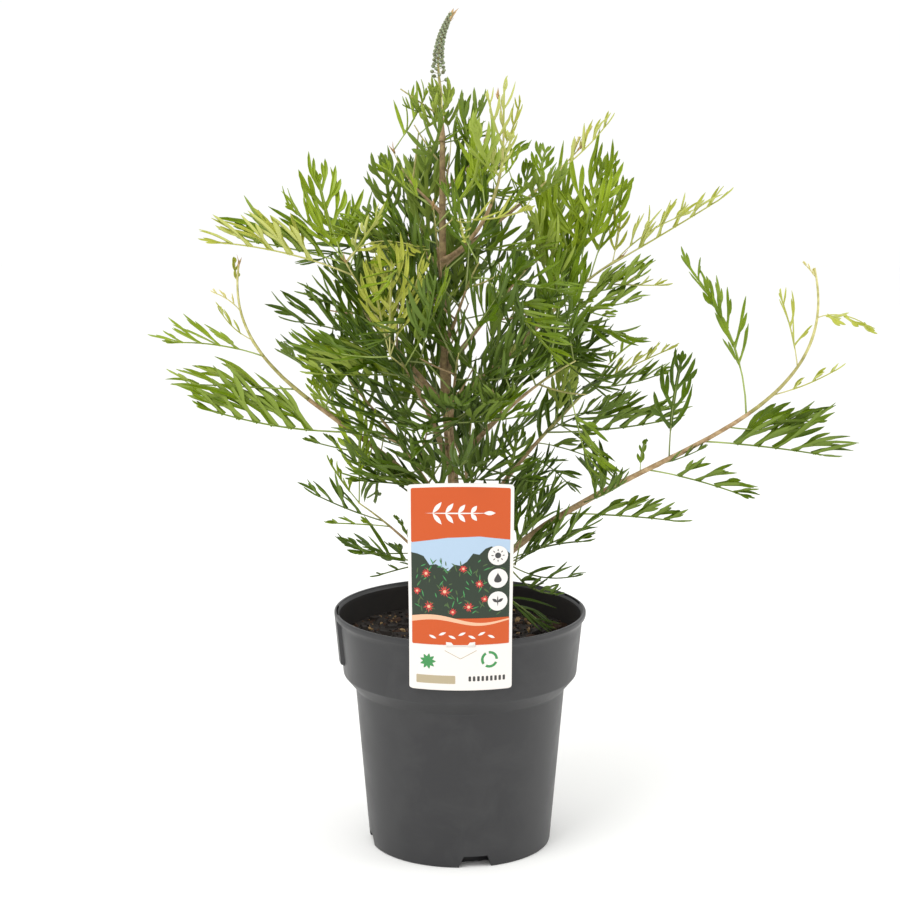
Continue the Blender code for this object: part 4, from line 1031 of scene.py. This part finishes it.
def grow_twigs(dice, shoot, lowest, turn):
    """Side twigs all along a stem, each with leaves in a spiral and a tuft at its tip."""
    count = max(int(shoot.span * (1.0 - lowest) / TWIG_STEP), 1)
    for index in range(count):
        share = lowest + (0.90 - lowest) * (index + 0.5) / count
        root = shoot.place(share)
        length = dice.uniform(*TWIG_LENGTHS)
        for shift in range(TWIG_TURNS_TRIED):
            heading = leaf_heading(shoot.heading(share), turn + (index + shift) * GOLDEN_ANGLE,
                                   dice.uniform(*TWIG_OPENINGS))
            end = root + heading * length
            points = np.array([tuple(root.lerp(end, part)) for part in (0.35, 0.7, 1.0)])
            if (clear_of_limbs(points) and clear_of_pot_and_label(points)
                    and inside_crown(points, 0.95)):
                bend = Vector((0.0, 0.0, dice.uniform(0.0, 0.25))) * length
                tone = spray_tone(dice, shoot, share, end)
                twigs.append((root, root.lerp(end, 0.5), end + bend, TWIG_RADIUS, tone))
                for order, part in enumerate((0.97, 0.66)):
                    spot = root.lerp(end + bend, part)
                    try_leaf(dice, spot, heading, turn + order * GOLDEN_ANGLE,
                             shoot.leaf_length * (0.78 + 0.16 * order), tone + 0.5 - 0.4 * order)
                break


leaves, twigs = [], []
for shoot in shoots:
    for planned in PLANNED_LEAVES.get(shoot.name, ()):
        share, azimuth, slope, length, lift, fold, tone, size = planned
        heading = direction(azimuth, slope)
        along = (heading + (heading + Vector((0.0, 0.0, lift))).normalized()).normalized()
        add_leaf(Leaf(shoot.place(share), heading, facing_of(along, shoot.heading(share), 0.15),
                      length, lift, math.radians(fold), tone, lobe_size=size), planned=True)
for index, shoot in enumerate(shoots):
    dice = random.Random(SEED + index)
    turn = dice.uniform(0.0, math.tau)
    lowest = max(shoot.bare, 0.12) + 0.04
    if shoot.name not in PLANNED_LEAVES:
        grow_twigs(dice, shoot, lowest, turn)
    for order in range(shoot.leaves):
        share = 0.99 - (0.99 - lowest) * order / max(shoot.leaves - 1, 1)
        place = shoot.place(share)
        try_leaf(dice, place, shoot.heading(share), turn, shoot.leaf_length,
                 spray_tone(dice, shoot, share, place))
        turn += GOLDEN_ANGLE

# Stems. The leafy ends of the boughs, and their twigs: living shoots that are still green on
# the pale tips, and pinkish tan where they have begun to turn woody.

STEM_STEP = 0.004
SOFT_TIP_TAPER = 0.40
GREEN_SHARE = 0.17
STEM_SIDES = 8
TWIG_SIDES = 6
STEM_KINDS = (("woody", "#927550", "#bfa47c", 0.70), ("green", "#8f8a4c", "#b5ab6c", 0.60),
              ("new", "#a9a45a", "#cfc888", 0.55))

stem_parts = [([], []) for kind in STEM_KINDS]
for seed, shoot in enumerate(shoots):
    woody_to = min(max(0.86 - 0.07 * shoot.tone, shoot.bare + 0.05), 0.75)
    edges = (shoot.bare, woody_to, woody_to + GREEN_SHARE, 1.0)
    for part, low, high in zip(stem_parts, edges, edges[1:]):
        shares = stretch_of(shoot, low, high, STEM_STEP, 3)
        add_tube(*part, [shoot.place(share) for share in shares],
                 [shoot.radius_at(share) * (1.0 - SOFT_TIP_TAPER * max(share - shoot.bare, 0.0))
                  for share in shares], STEM_SIDES, bark_relief(seed + 40.0, float(low == 0.0)))
for root, middle, end, radius, tone in twigs:
    shares = np.linspace(0.0, 1.0, 6).tolist()
    places = [root.lerp(middle, t).lerp(middle.lerp(end, t), t) for t in shares]
    add_tube(*stem_parts[(tone >= 3.0) + (tone >= 5.2)], places,
             [radius * (1.0 - 0.4 * t) for t in shares], TWIG_SIDES)
stem_materials = []
for (stem_name, dark, pale, roughness), part in zip(STEM_KINDS, stem_parts):
    stem_materials.append(bark_material(stem_name + "_shoot", dark, pale, roughness))
    stems = add_piece(stem_name + "_stems", *part, [stem_materials[-1]])
    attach(stems, "root")


# Leaves, piece by piece for their age. A grevillea leaf is thin, leathery and faintly glossy
# above and silky beneath; the old ones are deep green, and the newest are cream to lime.

LEAF_THICKNESS = 0.0004
WING_HALF = 0.30
WING_KEEL = 0.3
WING_STARTS = (-0.10, 0.03)
RIB_RADIUS = 0.00090
RIB_TAPER = 0.60
LOBE_TWIST = 0.40
LOBE_KEEL = 0.20
LOBE_BENDS = (-0.24, 0.32)
LOBE_CURLS = (-0.26, 0.24)
FOOT_HALF = 0.46
WAIST_HALF = 0.27
FORK_SHARES = (0.30, 0.46)
FORK_BULGE = 1.05
FORK_FALL = 0.10
PALM_SHARE = 0.165
FINGER_ANGLE = math.radians(27.0)
FINGER_HOOK = 0.36
SIDE_FINGER = 0.76
FINGER_WIDTHS = ((0.28, 0.37), (0.56, 0.42), (0.82, 0.28))
LEAF_AGES = (
    # name, dark and pale of the upper side, underside, finger width, fingers on a lobe
    ("old_leaf", "#2b3f07", "#3f5609", "#4b6026", 0.0044, 1.2),
    ("shaded_leaf", "#334907", "#4a620a", "#536828", 0.0046, 1.3),
    ("summer_leaf", "#3f5609", "#59730c", "#5f752b", 0.0048, 1.5),
    ("full_leaf", "#4e660b", "#6c8511", "#6d8230", 0.0050, 1.8),
    ("bright_leaf", "#60790f", "#7f9717", "#7f9339", 0.0050, 2.0),
    ("fresh_leaf", "#788f18", "#97ac2a", "#94a544", 0.0047, 2.0),
    ("young_leaf", "#9fa538", "#bcc057", "#b6bb67", 0.0040, 1.8),
    ("new_leaf", "#c0b963", "#dcd28d", "#d2cb8c", 0.0032, 1.5),
)
STALK_KINDS = (("old", "#66753a", "#8b9550"), ("green", "#7f9440", "#a9b866"),
               ("new", "#b3b264", "#d4cc92"))


def add_wing(verts, faces, leaf, width):
    """The strip of blade that runs along the rib and joins the feet of the lobes."""
    first = len(verts)
    for share in np.linspace(leaf.bare - 0.07, 0.95, 10).tolist():
        along, side, up = leaf.frame(share)
        half = width * WING_HALF * smooth_share(share, *(leaf.bare + at for at in WING_STARTS))
        verts += [leaf.on_rib(share) - side * half, leaf.on_rib(share) - up * half * WING_KEEL,
                  leaf.on_rib(share) + side * half]
    for row in range(first, len(verts) - 3, 3):
        faces += [(row, row + 1, row + 4, row + 3), (row + 1, row + 2, row + 5, row + 4)]


def add_lobe(verts, faces, lobe, width, fingers, bend, curl, dice):
    """A lobe with a flared foot that parts into lance-shaped fingers, all keeled."""
    foot, axis, ahead, upper, reach = lobe
    twist = dice.uniform(-LOBE_TWIST, LOBE_TWIST)
    ahead, upper = (ahead * math.cos(twist) + upper * math.sin(twist),
                    upper * math.cos(twist) - ahead * math.sin(twist))
    flipped = axis.cross(ahead).dot(upper) > 0
    keel = width * LOBE_KEEL

    def put(forward, sideways, depth=0.0):
        part = forward / reach
        verts.append(foot + axis * forward + ahead * (sideways + bend * part * part * reach)
                     + upper * (curl * part * part * reach - depth))
        return len(verts) - 1

    def fill(*corners):
        faces.append(corners[::-1] if flipped else corners)

    def strip(first, second):
        for left in (0, 1):
            fill(first[left], first[left + 1], second[left + 1], second[left])

    fork = reach * (1.0 if fingers == 1 else dice.uniform(*FORK_SHARES))
    main = fingers // 2 if fingers != 2 else dice.randint(0, 1)
    palm = [put(0.0, -width * FOOT_HALF), put(0.0, 0.0, keel * 0.4), put(0.0, width * FOOT_HALF)]
    neck = fork * 0.5 if fingers > 1 else reach * 0.16
    waist = [put(neck, -width * WAIST_HALF), put(neck, 0.0, keel), put(neck, width * WAIST_HALF)]
    strip(palm, waist)
    palm = waist
    if fingers > 1:
        line = []
        for index in range(2 * fingers + 1):
            off = abs((index - 1) / 2 - main)
            line.append(put(fork * (FORK_BULGE - FORK_FALL * off),
                            (index - fingers) * width * PALM_SHARE, keel if index % 2 else 0.0))
        fill(palm[0], palm[1], *reversed(line[:fingers + 1]))
        fill(palm[1], palm[2], *reversed(line[fingers:]))
    for finger in range(fingers):
        off = finger - main
        angle = off * FINGER_ANGLE * dice.uniform(0.8, 1.2) + dice.uniform(-0.08, 0.08)
        if fingers > 1:
            length = (reach - fork) * (SIDE_FINGER if off else 1.0) * dice.uniform(0.85, 1.10)
            begin = fork * (FORK_BULGE - FORK_FALL * abs(off))
            side = (2 * finger + 1 - fingers) * width * PALM_SHARE
            ring = line[2 * finger:2 * finger + 3]
        else:
            length, begin, side, ring = reach, 0.0, 0.0, palm
        for share, half_width in FINGER_WIDTHS:
            forward = begin + length * share * math.cos(angle)
            middle = side + length * math.sin(angle) * (share - FINGER_HOOK * share * share)
            lean = angle * (1.0 - 2.0 * FINGER_HOOK * share)
            across = half_width * width
            last = [put(forward + across * math.sin(lean), middle - across * math.cos(lean)),
                    put(forward, middle, keel),
                    put(forward - across * math.sin(lean), middle + across * math.cos(lean))]
            strip(ring, last)
            ring = last
        tip = put(begin + length * math.cos(angle),
                  side + length * math.sin(angle) * (1.0 - FINGER_HOOK))
        fill(ring[0], ring[1], tip)
        fill(ring[1], ring[2], tip)


def thicken(piece, thickness, offset=-1.0, under=0):
    """Give a sheet its thickness: below it, or on both sides where the offset is 0."""
    solidify = piece.modifiers.new("thickness", "SOLIDIFY")
    solidify.thickness = thickness
    solidify.offset = offset
    solidify.material_offset = under
    apply_modifiers(piece)


def leaf_material(name, dark, pale, roughness):
    """Patches near 22 mm across that drift in colour, and veins about 4 mm apart."""
    material = new_material(name, pale, roughness, Specular_IOR_Level=0.26)
    add_pattern(material, {"Scale": 1 / 0.022, "Detail": 3.0, "Roughness": 0.55}, (dark, pale),
                (0.34, 0.66), {"Scale": 1 / 0.004, "Detail": 1.0}, (0.3, 0.0004))
    return material


def age_of(leaf):
    return min(max(int(round(leaf.tone)), 0), len(LEAF_AGES) - 1)


# Leaf blades: leathery above, with a waxy gloss, and a silky paler underside that drinks light.
leaf_dice = random.Random(311)
stalk_parts = [([], []) for kind in STALK_KINDS]
for age, (name, dark, pale, under, width, mean_fingers) in enumerate(LEAF_AGES):
    verts, faces = [], []
    for leaf in [leaf for leaf in leaves if age_of(leaf) == age]:
        size = min(max(leaf.length / 0.10, 0.3), 1.15) ** 0.5
        add_wing(verts, faces, leaf, width * size)
        for foot, axis, ahead, upper, reach in leaf.lobes():
            reach *= leaf_dice.uniform(0.82, 1.04)
            breadth = min(max((reach / 0.036) ** 0.5, 0.55), 1.10)
            fingers = min(max(round(mean_fingers * breadth + leaf_dice.uniform(-0.5, 0.9)), 1), 3)
            add_lobe(verts, faces, (foot, axis, ahead, upper, reach), width * breadth, fingers,
                     MEAN_BEND + leaf_dice.uniform(*LOBE_BENDS),
                     leaf.curl + leaf_dice.uniform(*LOBE_CURLS), leaf_dice)
        along, side, up = leaf.frame(LAST_LOBE_SHARE)
        add_lobe(verts, faces, (leaf.on_rib(0.93), along, side, up, leaf.length * 0.20),
                 width * size * 0.8, leaf_dice.choice((1, 2, 3)), leaf_dice.uniform(-0.2, 0.2),
                 0.10, leaf_dice)
        shares = np.linspace(0.0, 0.97, 9).tolist()
        add_tube(*stalk_parts[(age >= 3) + (age >= 6)], [leaf.on_rib(share) for share in shares],
                 [RIB_RADIUS * size * (1.0 - RIB_TAPER * share) for share in shares], 4)
    blades = add_piece(name + "_blades", verts, faces,
                       [leaf_material(name, dark, pale, 0.36),
                        leaf_material(name + "_underside", under, under, 0.60)])
    thicken(blades, LEAF_THICKNESS, under=1)
    blades.data.set_sharp_from_angle(angle=math.radians(50.0))
    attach(blades, "root")
    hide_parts(*["foliage_" + shoot.name for shoot in shoots])

# Leaf stalks and ribs: round, smooth and paler than the blades, flushed with tan when old.
for (kind, dark, pale), part in zip(STALK_KINDS, stalk_parts):
    stalk_skin = new_material(kind + "_stalks", pale, 0.5)
    add_pattern(stalk_skin, {"Scale": 1 / 0.03, "Detail": 2.0}, (dark, pale))
    stalks = add_piece(kind + "_leaf_stalks", *part, [stalk_skin])
    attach(stalks, "root")


# Flower spike. The leader ends in one unopened toothbrush spike, 63 mm long and nodding at its
# tip: round buds of grey-green felt on short stalks, spaced below and packed above, with a few
# papery bracts still wrapped round the youngest buds.

SPIKE_HEIGHT = 0.063
SPIKE_LEAN = 0.010
BUD_COUNT = 118
FIRST_BUD = 0.17
BUD_SPAN = 0.80
BUD_CROWDING = 0.62
BUD_RADIUS = 0.00150
BUD_STRETCH = 1.12
BUD_SIDES = 8
BUD_RINGS = 6
STALK_SIDES = 4
BRACT_COUNT = 9
BRACT_SIZE = (0.0060, 0.0022)
TIP_SCALES = 4

# Felted buds: matt, with a soft sheen from their short hairs, mottled brown at about 1.4 mm.
bud_felt = new_material("grey_green_bud_felt", "#7f8d68", 0.85, Sheen_Weight=0.35,
                        Sheen_Roughness=0.5)
add_pattern(bud_felt, {"Scale": 1 / 0.0014, "Detail": 4.0}, ("#6d6a4c", "#8f9f7a"),
            (0.38, 0.62), relief=(0.5, 0.0002))

# Dry bracts: thin papery scales, tan to amber, in blotches of about 3 mm.
dry_bract = new_material("papery_bract", "#c39a62", 0.6)
add_pattern(dry_bract, {"Scale": 1 / 0.003, "Detail": 2.0}, ("#9c6f42", "#d6b87e"))


def spike_place(foot, share):
    """The spike's axis: up, a little to the left, then nodding over to the right."""
    sway = -0.0035 * math.sin(share * math.pi * 0.9) + SPIKE_LEAN * share ** 3
    return foot + Vector((sway, 0.0, SPIKE_HEIGHT * share))


def add_bud(verts, faces, centre, out, radius):
    """A round bud, a little longer than wide, on rings round the way it points."""
    angles = [math.pi * (ring + 0.5) / BUD_RINGS for ring in range(BUD_RINGS)]
    add_tube(verts, faces,
             [centre - out * math.cos(angle) * radius * BUD_STRETCH for angle in angles],
             [radius * math.sin(angle) for angle in angles], BUD_SIDES)


def add_scale(verts, faces, root, heading, facing, length, width):
    """A pointed papery scale, hollow along its middle."""
    side = heading.cross(facing).normalized()
    first = len(verts)
    for along, across, lift in ((0.0, -0.30, 0.0), (0.0, 0.30, 0.0), (0.45, -0.50, 0.12),
                                (0.45, 0.0, -0.04), (0.45, 0.50, 0.12), (1.0, 0.0, -0.10)):
        verts.append(root + heading * along * length + side * across * width
                     + facing * lift * width)
    for face in ((0, 1, 3), (0, 3, 2), (1, 4, 3), (2, 3, 5), (3, 4, 5)):
        faces.append(tuple(first + corner for corner in face))


leader_end = shoots[-1].place(1.0)
spike_dice = random.Random(8)
spike_stalks, buds, scales = ([], []), ([], []), ([], [])
shares = [index / 24 for index in range(25)]
add_tube(*spike_stalks, [spike_place(leader_end, share) for share in shares],
         [0.00110 - 0.0006 * share for share in shares], 8)
bend = Vector((0.0, 0.0, 0.0006))
for index in range(BUD_COUNT):
    rank = index / (BUD_COUNT - 1)
    share = FIRST_BUD + BUD_SPAN * rank ** BUD_CROWDING
    crowding = smooth_share(share, 0.20, 0.46)
    turn = index * GOLDEN_ANGLE
    out = Vector((math.cos(turn), math.sin(turn), 0.30 + 0.5 * crowding * rank)).normalized()
    foot = spike_place(leader_end, share)
    stalk = (0.0046 - 0.0018 * crowding - 0.0015 * rank) * spike_dice.uniform(0.90, 1.08)
    radius = BUD_RADIUS * (1.0 - 0.45 * rank) * spike_dice.uniform(0.92, 1.06)
    add_tube(*spike_stalks, [foot, foot + out * stalk * 0.5 - bend * 0.5, foot + out * stalk],
             [0.00034, 0.00028, 0.00032], STALK_SIDES)
    add_bud(*buds, foot + out * (stalk + radius * 0.7), out, radius)
up_axis = (spike_place(leader_end, 1.0) - spike_place(leader_end, 0.9)).normalized()
for index in range(BRACT_COUNT):
    turn = index * GOLDEN_ANGLE
    out = Vector((math.cos(turn), math.sin(turn), 0.0))
    foot = spike_place(leader_end, 0.86 + 0.13 * index / BRACT_COUNT) + out * 0.0008
    add_scale(*scales, foot, (up_axis + out * 0.30).normalized(), -out, *BRACT_SIZE)

# The tips of leading shoots carry a few scales round the bud that will open next.
for shoot in shoots:
    if shoot.tone > 3.3 and shoot.name != LEADER:
        heading = shoot.heading(1.0)
        for index in range(TIP_SCALES):
            out = leaf_heading(heading, index * GOLDEN_ANGLE, 90.0)
            add_scale(*scales, shoot.place(1.0) - heading * 0.0012 * index + out * 0.0004,
                      (heading + out * 0.25).normalized(), -out, 0.0062 - 0.0007 * index, 0.0018)

for name, part, material in (("spike_stalks", spike_stalks, stem_materials[1]),
                             ("flower_buds", buds, bud_felt), ("bud_scales", scales, dry_bract)):
    piece = add_piece(name, *part, [material])
    if part is scales:
        thicken(piece, 0.0002)
    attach(piece, "root")


# Label. A stiff card of white polypropylene, 80 mm by 160 mm, printed on the front and hooked
# over the rim by a tongue at its back. It bows with the rim at its foot and is nearly flat at
# its head, whose corners are clipped round. Its print is a generic picture in flat colours.

LABEL_FOOT = 0.1525
LABEL_THICKNESS = 0.0007
LABEL_LEAN = math.radians(3.0)
LABEL_ARCH = 0.0016
LABEL_CORNER = 0.0022
LABEL_STANDOFF = 0.00055
PRINT_LEVEL = 0.00004
HOOK_WIDTH = 0.022
HOOK_DEPTH = 0.0105
HOOK_CLEARANCE = 0.0023
TONGUE_STEPS = 6
CARD_CUT = 0.005
MM = 0.001
CARD_HEIGHT = (LABEL_HEAD - LABEL_FOOT) / MM
CARD_HALF = LABEL_WIDTH / 2 / MM


def label_place(across, up):
    """Where a point of the flat card goes: bowed round the rim, flatter and leaning above."""
    lip = RIM_RADIUS + FIT_GAP + LABEL_STANDOFF
    bow_radius = lip / (1.0 - 0.75 * smooth_share(up, POT_HEIGHT, LABEL_HEAD))
    turn = across / bow_radius
    back = bow_radius * (1.0 - math.cos(turn))
    lean = (up - POT_HEIGHT) * math.tan(LABEL_LEAN)
    arch = LABEL_ARCH * (1.0 - (2.0 * across / LABEL_WIDTH) ** 2)
    arch *= smooth_share(up, LABEL_HEAD - 0.012, LABEL_HEAD)
    return Vector((bow_radius * math.sin(turn), -lip + back - lean, up + arch))


def card_point(across, up, level):
    """A point in millimetres on the card, raised from its middle surface by a level."""
    across, up = across * MM, LABEL_FOOT + up * MM
    right = label_place(across + MM, up) - label_place(across - MM, up)
    rise = label_place(across, up + MM) - label_place(across, up - MM)
    return label_place(across, up) + right.cross(rise).normalized() * level


def lay_shape(verts, faces, marks, outline, level, mark):
    """Cut an outline in millimetres along a grid, and lay it on the bowed card at a level."""
    bm = bmesh.new()
    bm.faces.new([bm.verts.new((across, up, 0.0)) for across, up in outline])
    for axis, (low, high) in enumerate(((min(p[a] for p in outline), max(p[a] for p in outline))
                                        for a in (0, 1))):
        step = CARD_CUT / MM * (1 + axis)
        line = math.ceil(low / step) * step
        while line < high:
            spot = (line, 0.0, 0.0) if axis == 0 else (0.0, line, 0.0)
            way = (1.0, 0.0, 0.0) if axis == 0 else (0.0, 1.0, 0.0)
            bmesh.ops.bisect_plane(bm, geom=bm.verts[:] + bm.edges[:] + bm.faces[:],
                                   plane_co=spot, plane_no=way)
            line += step
    first = len(verts)
    bm.verts.index_update()
    verts += [card_point(vert.co.x, vert.co.y, level) for vert in bm.verts]
    for face in bm.faces:
        corners = tuple(first + vert.index for vert in face.verts)
        faces.append(corners if face.normal.z > 0 else corners[::-1])
        marks.append(mark)
    bm.free()


def arc(x, y, radius, start, sweep, steps):
    """Points along a part of a circle, from a start over a sweep in degrees."""
    turns = [math.radians(start + sweep * step / steps) for step in range(steps + 1)]
    return [(x + radius * math.cos(turn), y + radius * math.sin(turn)) for turn in turns]


def rounded_box(low_x, low_y, high_x, high_y, corner, steps=5):
    corners = ((high_x, high_y, -1, -1), (low_x, high_y, 1, -1), (low_x, low_y, 1, 1),
               (high_x, low_y, -1, 1))
    return [point for index, (x, y, in_x, in_y) in enumerate(corners)
            for point in arc(x + in_x * corner, y + in_y * corner, corner, 90 * index, 90, steps)]


def disc(x, y, radius, steps=20):
    return arc(x, y, radius, 0, 360, steps)[:-1]


def petal(x, y, azimuth, length, width, bend=0.0):
    """A lens with both ends pointed, from a foot at x, y."""
    turn = math.radians(azimuth)
    outline = []
    for sign in (1.0, -1.0):
        for step in range(5):
            t = step / 5 if sign > 0 else 1.0 - step / 5
            across = sign * width / 2 * math.sin(math.pi * t) + bend * t * t
            outline.append((x + length * t * math.cos(turn) - across * math.sin(turn),
                            y + length * t * math.sin(turn) + across * math.cos(turn)))
    return outline


# White card: an opaque plastic film with a smooth semi-gloss face, faintly dimpled at 1.5 mm.
# The inks lie on it in thin flat layers of even colour, a touch duller than the film.
def print_material(name, colour, roughness):
    material = new_material(name, colour, roughness, IOR=1.49)
    add_pattern(material, {"Scale": 1 / 0.0015, "Detail": 1.0}, relief=(0.15, 0.00004))
    return material


card_film = print_material("white_polypropylene_film", "#e6e1dc", 0.34)
INKS = [print_material("printed_" + ink, colour, 0.38) for ink, colour in (
    ("orange", "#c34d04"), ("peach", "#e5b391"), ("leaf_green", "#3b8a4b"),
    ("deep_green", "#1d2d1b"), ("sky_blue", "#a9bfd4"), ("coral", "#c93a34"),
    ("mid_green", "#445f30"), ("beige", "#b0a284"), ("white", "#e4e0dc"),
    ("charcoal", "#3a3a38"))]
ORANGE, PEACH, LEAF_GREEN, DEEP_GREEN, SKY, CORAL, MID_GREEN, BEIGE, WHITE, CHARCOAL = range(10)

verts, faces, marks = [], [], []
lay_shape(verts, faces, marks,
          rounded_box(-CARD_HALF, 0.0, CARD_HALF, CARD_HEIGHT, LABEL_CORNER / MM), 0.0, 0)
card = add_piece("label_card", verts, faces, [card_film])
thicken(card, LABEL_THICKNESS, 0.0)
card.data.set_sharp_from_angle(angle=math.radians(40.0))

# The tongue: the same film, folded over the rim and down inside it.
front = -(RIM_RADIUS + FIT_GAP + 0.0006)
inner = -(COLLAR_TOP_RADIUS - WALL - HOOK_CLEARANCE) + 0.0005
top = POT_HEIGHT + FIT_GAP + 0.0008
fold = [(front, top - 0.004), (front, top - 0.0008), (front + 0.0004, top - 0.0002),
        (front + 0.0012, top), (inner - 0.0012, top), (inner - 0.0004, top - 0.0002),
        (inner, top - 0.0010), (inner, POT_HEIGHT - HOOK_DEPTH)]
verts = [((step / TONGUE_STEPS - 0.5) * HOOK_WIDTH, back, up)
         for back, up in fold for step in range(TONGUE_STEPS + 1)]
row = TONGUE_STEPS + 1
faces = [(corner, corner + 1, corner + 1 + row, corner + row)
         for corner in range(len(verts) - row) if corner % row < TONGUE_STEPS]
tongue = add_piece("label_tongue", verts, faces, [card_film])
thicken(tongue, LABEL_THICKNESS, 0.0)

verts, faces, marks = [], [], []


def ink(outline, layer, colour):
    lay_shape(verts, faces, marks, outline, LABEL_THICKNESS / 2 + PRINT_LEVEL * layer, colour)


PRINT_MARGIN = 2.6
PRINT_WIDTH = 74.4
RIGHT = CARD_HALF - PRINT_MARGIN
LEFT = -RIGHT
ink(rounded_box(LEFT, 116, RIGHT, CARD_HEIGHT - PRINT_MARGIN, 1.2), 1, ORANGE)
ink([(LEFT, 56), (RIGHT, 56), (RIGHT, 118), (14, 121), (-10, 120), (LEFT, 116)], 2, SKY)
shrub_tops = [104 + 8.0 * math.sin(i * 0.42 + 0.4) + 2.2 * math.sin(i * 2.3) for i in range(17)]
ink([(LEFT, 56), (RIGHT, 56)]
    + [(RIGHT - PRINT_WIDTH * i / 16, top) for i, top in enumerate(shrub_tops)], 3, DEEP_GREEN)
picture_dice = random.Random(5)
for index in range(110):
    x = picture_dice.uniform(-34.0, 34.0)
    y = picture_dice.uniform(59.0, 101.0)
    ink(petal(x, y, picture_dice.uniform(20, 160), picture_dice.uniform(3.0, 6.5), 0.9),
        4, MID_GREEN if index % 3 else LEAF_GREEN)
for x, y, size in ((-26, 92, 4.0), (-12, 78, 4.6), (-24, 66, 4.4), (2, 96, 3.4), (6, 66, 4.2),
                   (14, 84, 3.8), (-6, 62, 3.0), (-33, 78, 3.2), (18, 72, 3.0)):
    for spoke in range(11):
        turn = 360.0 / 11 * spoke + picture_dice.uniform(-9, 9)
        ink(petal(x, y, turn, size * picture_dice.uniform(0.8, 1.1), 0.85, 0.5), 5, CORAL)
    ink(disc(x, y, size * 0.28, 10), 6, PEACH)

# Three round panels down the right: a sun, a drop and a sprout.
x = 28.0
for y in (106.0, 88.0, 70.0):
    ink(disc(x, y, 7.6, 28), 7, WHITE)
ink(disc(x, 106.0, 2.3, 16), 8, CHARCOAL)
for ray in range(8):
    turn = math.tau * ray / 8
    ink(petal(x + 3.1 * math.cos(turn), 106.0 + 3.1 * math.sin(turn), ray * 45, 2.2, 0.8), 8,
        CHARCOAL)
ink([(x + 3.0 * math.sin(t) * (1 - math.cos(t)) / 2 * 1.5, 88.6 + 4.0 * math.cos(t))
     for t in [math.tau * i / 22 for i in range(22)]], 8, CHARCOAL)
for foot_y, azimuth, length, width in ((65.8, 90, 8.6, 1.0), (69.0, 35, 5.2, 2.4),
                                       (69.0, 145, 5.2, 2.4)):
    ink(petal(x, foot_y, azimuth, length, width), 8, CHARCOAL)

# Header: a white sprig. Foot: an orange band under a peach wave, then small plain marks.
for pair in range(4):
    for lean in (52, -52):
        ink(petal(-21 + pair * 9.5, 139, lean, 11.0 - 1.2 * pair, 3.4), 2, WHITE)
ink(petal(-27, 139, 0, 49, 1.1), 3, WHITE)
ink(petal(17, 139, 0, 9, 3.4), 2, WHITE)
ink(rounded_box(LEFT, 36, RIGHT, 57, 0.8), 7, ORANGE)
wave = [(LEFT + PRINT_WIDTH * i / 20, 53.5 + 2.4 * math.sin(i * 0.34)) for i in range(21)]
ink(wave + [(x, y + 4.6 - 3.4 * i / 20) for i, (x, y) in enumerate(wave)][::-1], 8, PEACH)
for index in range(7):
    ink(petal(-24 + index * 7.4, 43.5, 24 if index % 2 else -24, 6.2, 2.0), 8, WHITE)
ink(rounded_box(-34, 5, -4, 11.5, 0.6), 1, BEIGE)
for spoke in range(9):
    ink(petal(-25, 22.5, spoke * 40, 6.4, 2.6), 1, LEAF_GREEN)
for start in (0, 120, 240):
    ink(arc(22, 24, 6.6, start, 96, 9) + arc(22, 24, 4.6, start, 96, 9)[::-1], 1, LEAF_GREEN)
for index in range(9):
    ink(rounded_box(6 + index * 3.3, 7, 7.9 + index * 3.3, 11, 0.5, 2), 1, CHARCOAL)
for low_x, high_x, low_y, high_y in ((-12.0, 0.0, 31.5, 25.0), (0.0, 12.0, 25.0, 31.5)):
    ink([(low_x, low_y - 0.25), (high_x, high_y - 0.25), (high_x, high_y + 0.25),
         (low_x, low_y + 0.25)], 1, BEIGE)

label_print = add_piece("label_print", verts, faces, INKS, smooth=False)
label_print.data.polygons.foreach_set("material_index", marks)
thicken(label_print, PRINT_LEVEL / 2)
for piece in (card, tongue, label_print):
    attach(piece, "root")
    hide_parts("label")

low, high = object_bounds()
{"cad": [list(cad_low), list(cad_high)], "visual": [list(low), list(high)]}
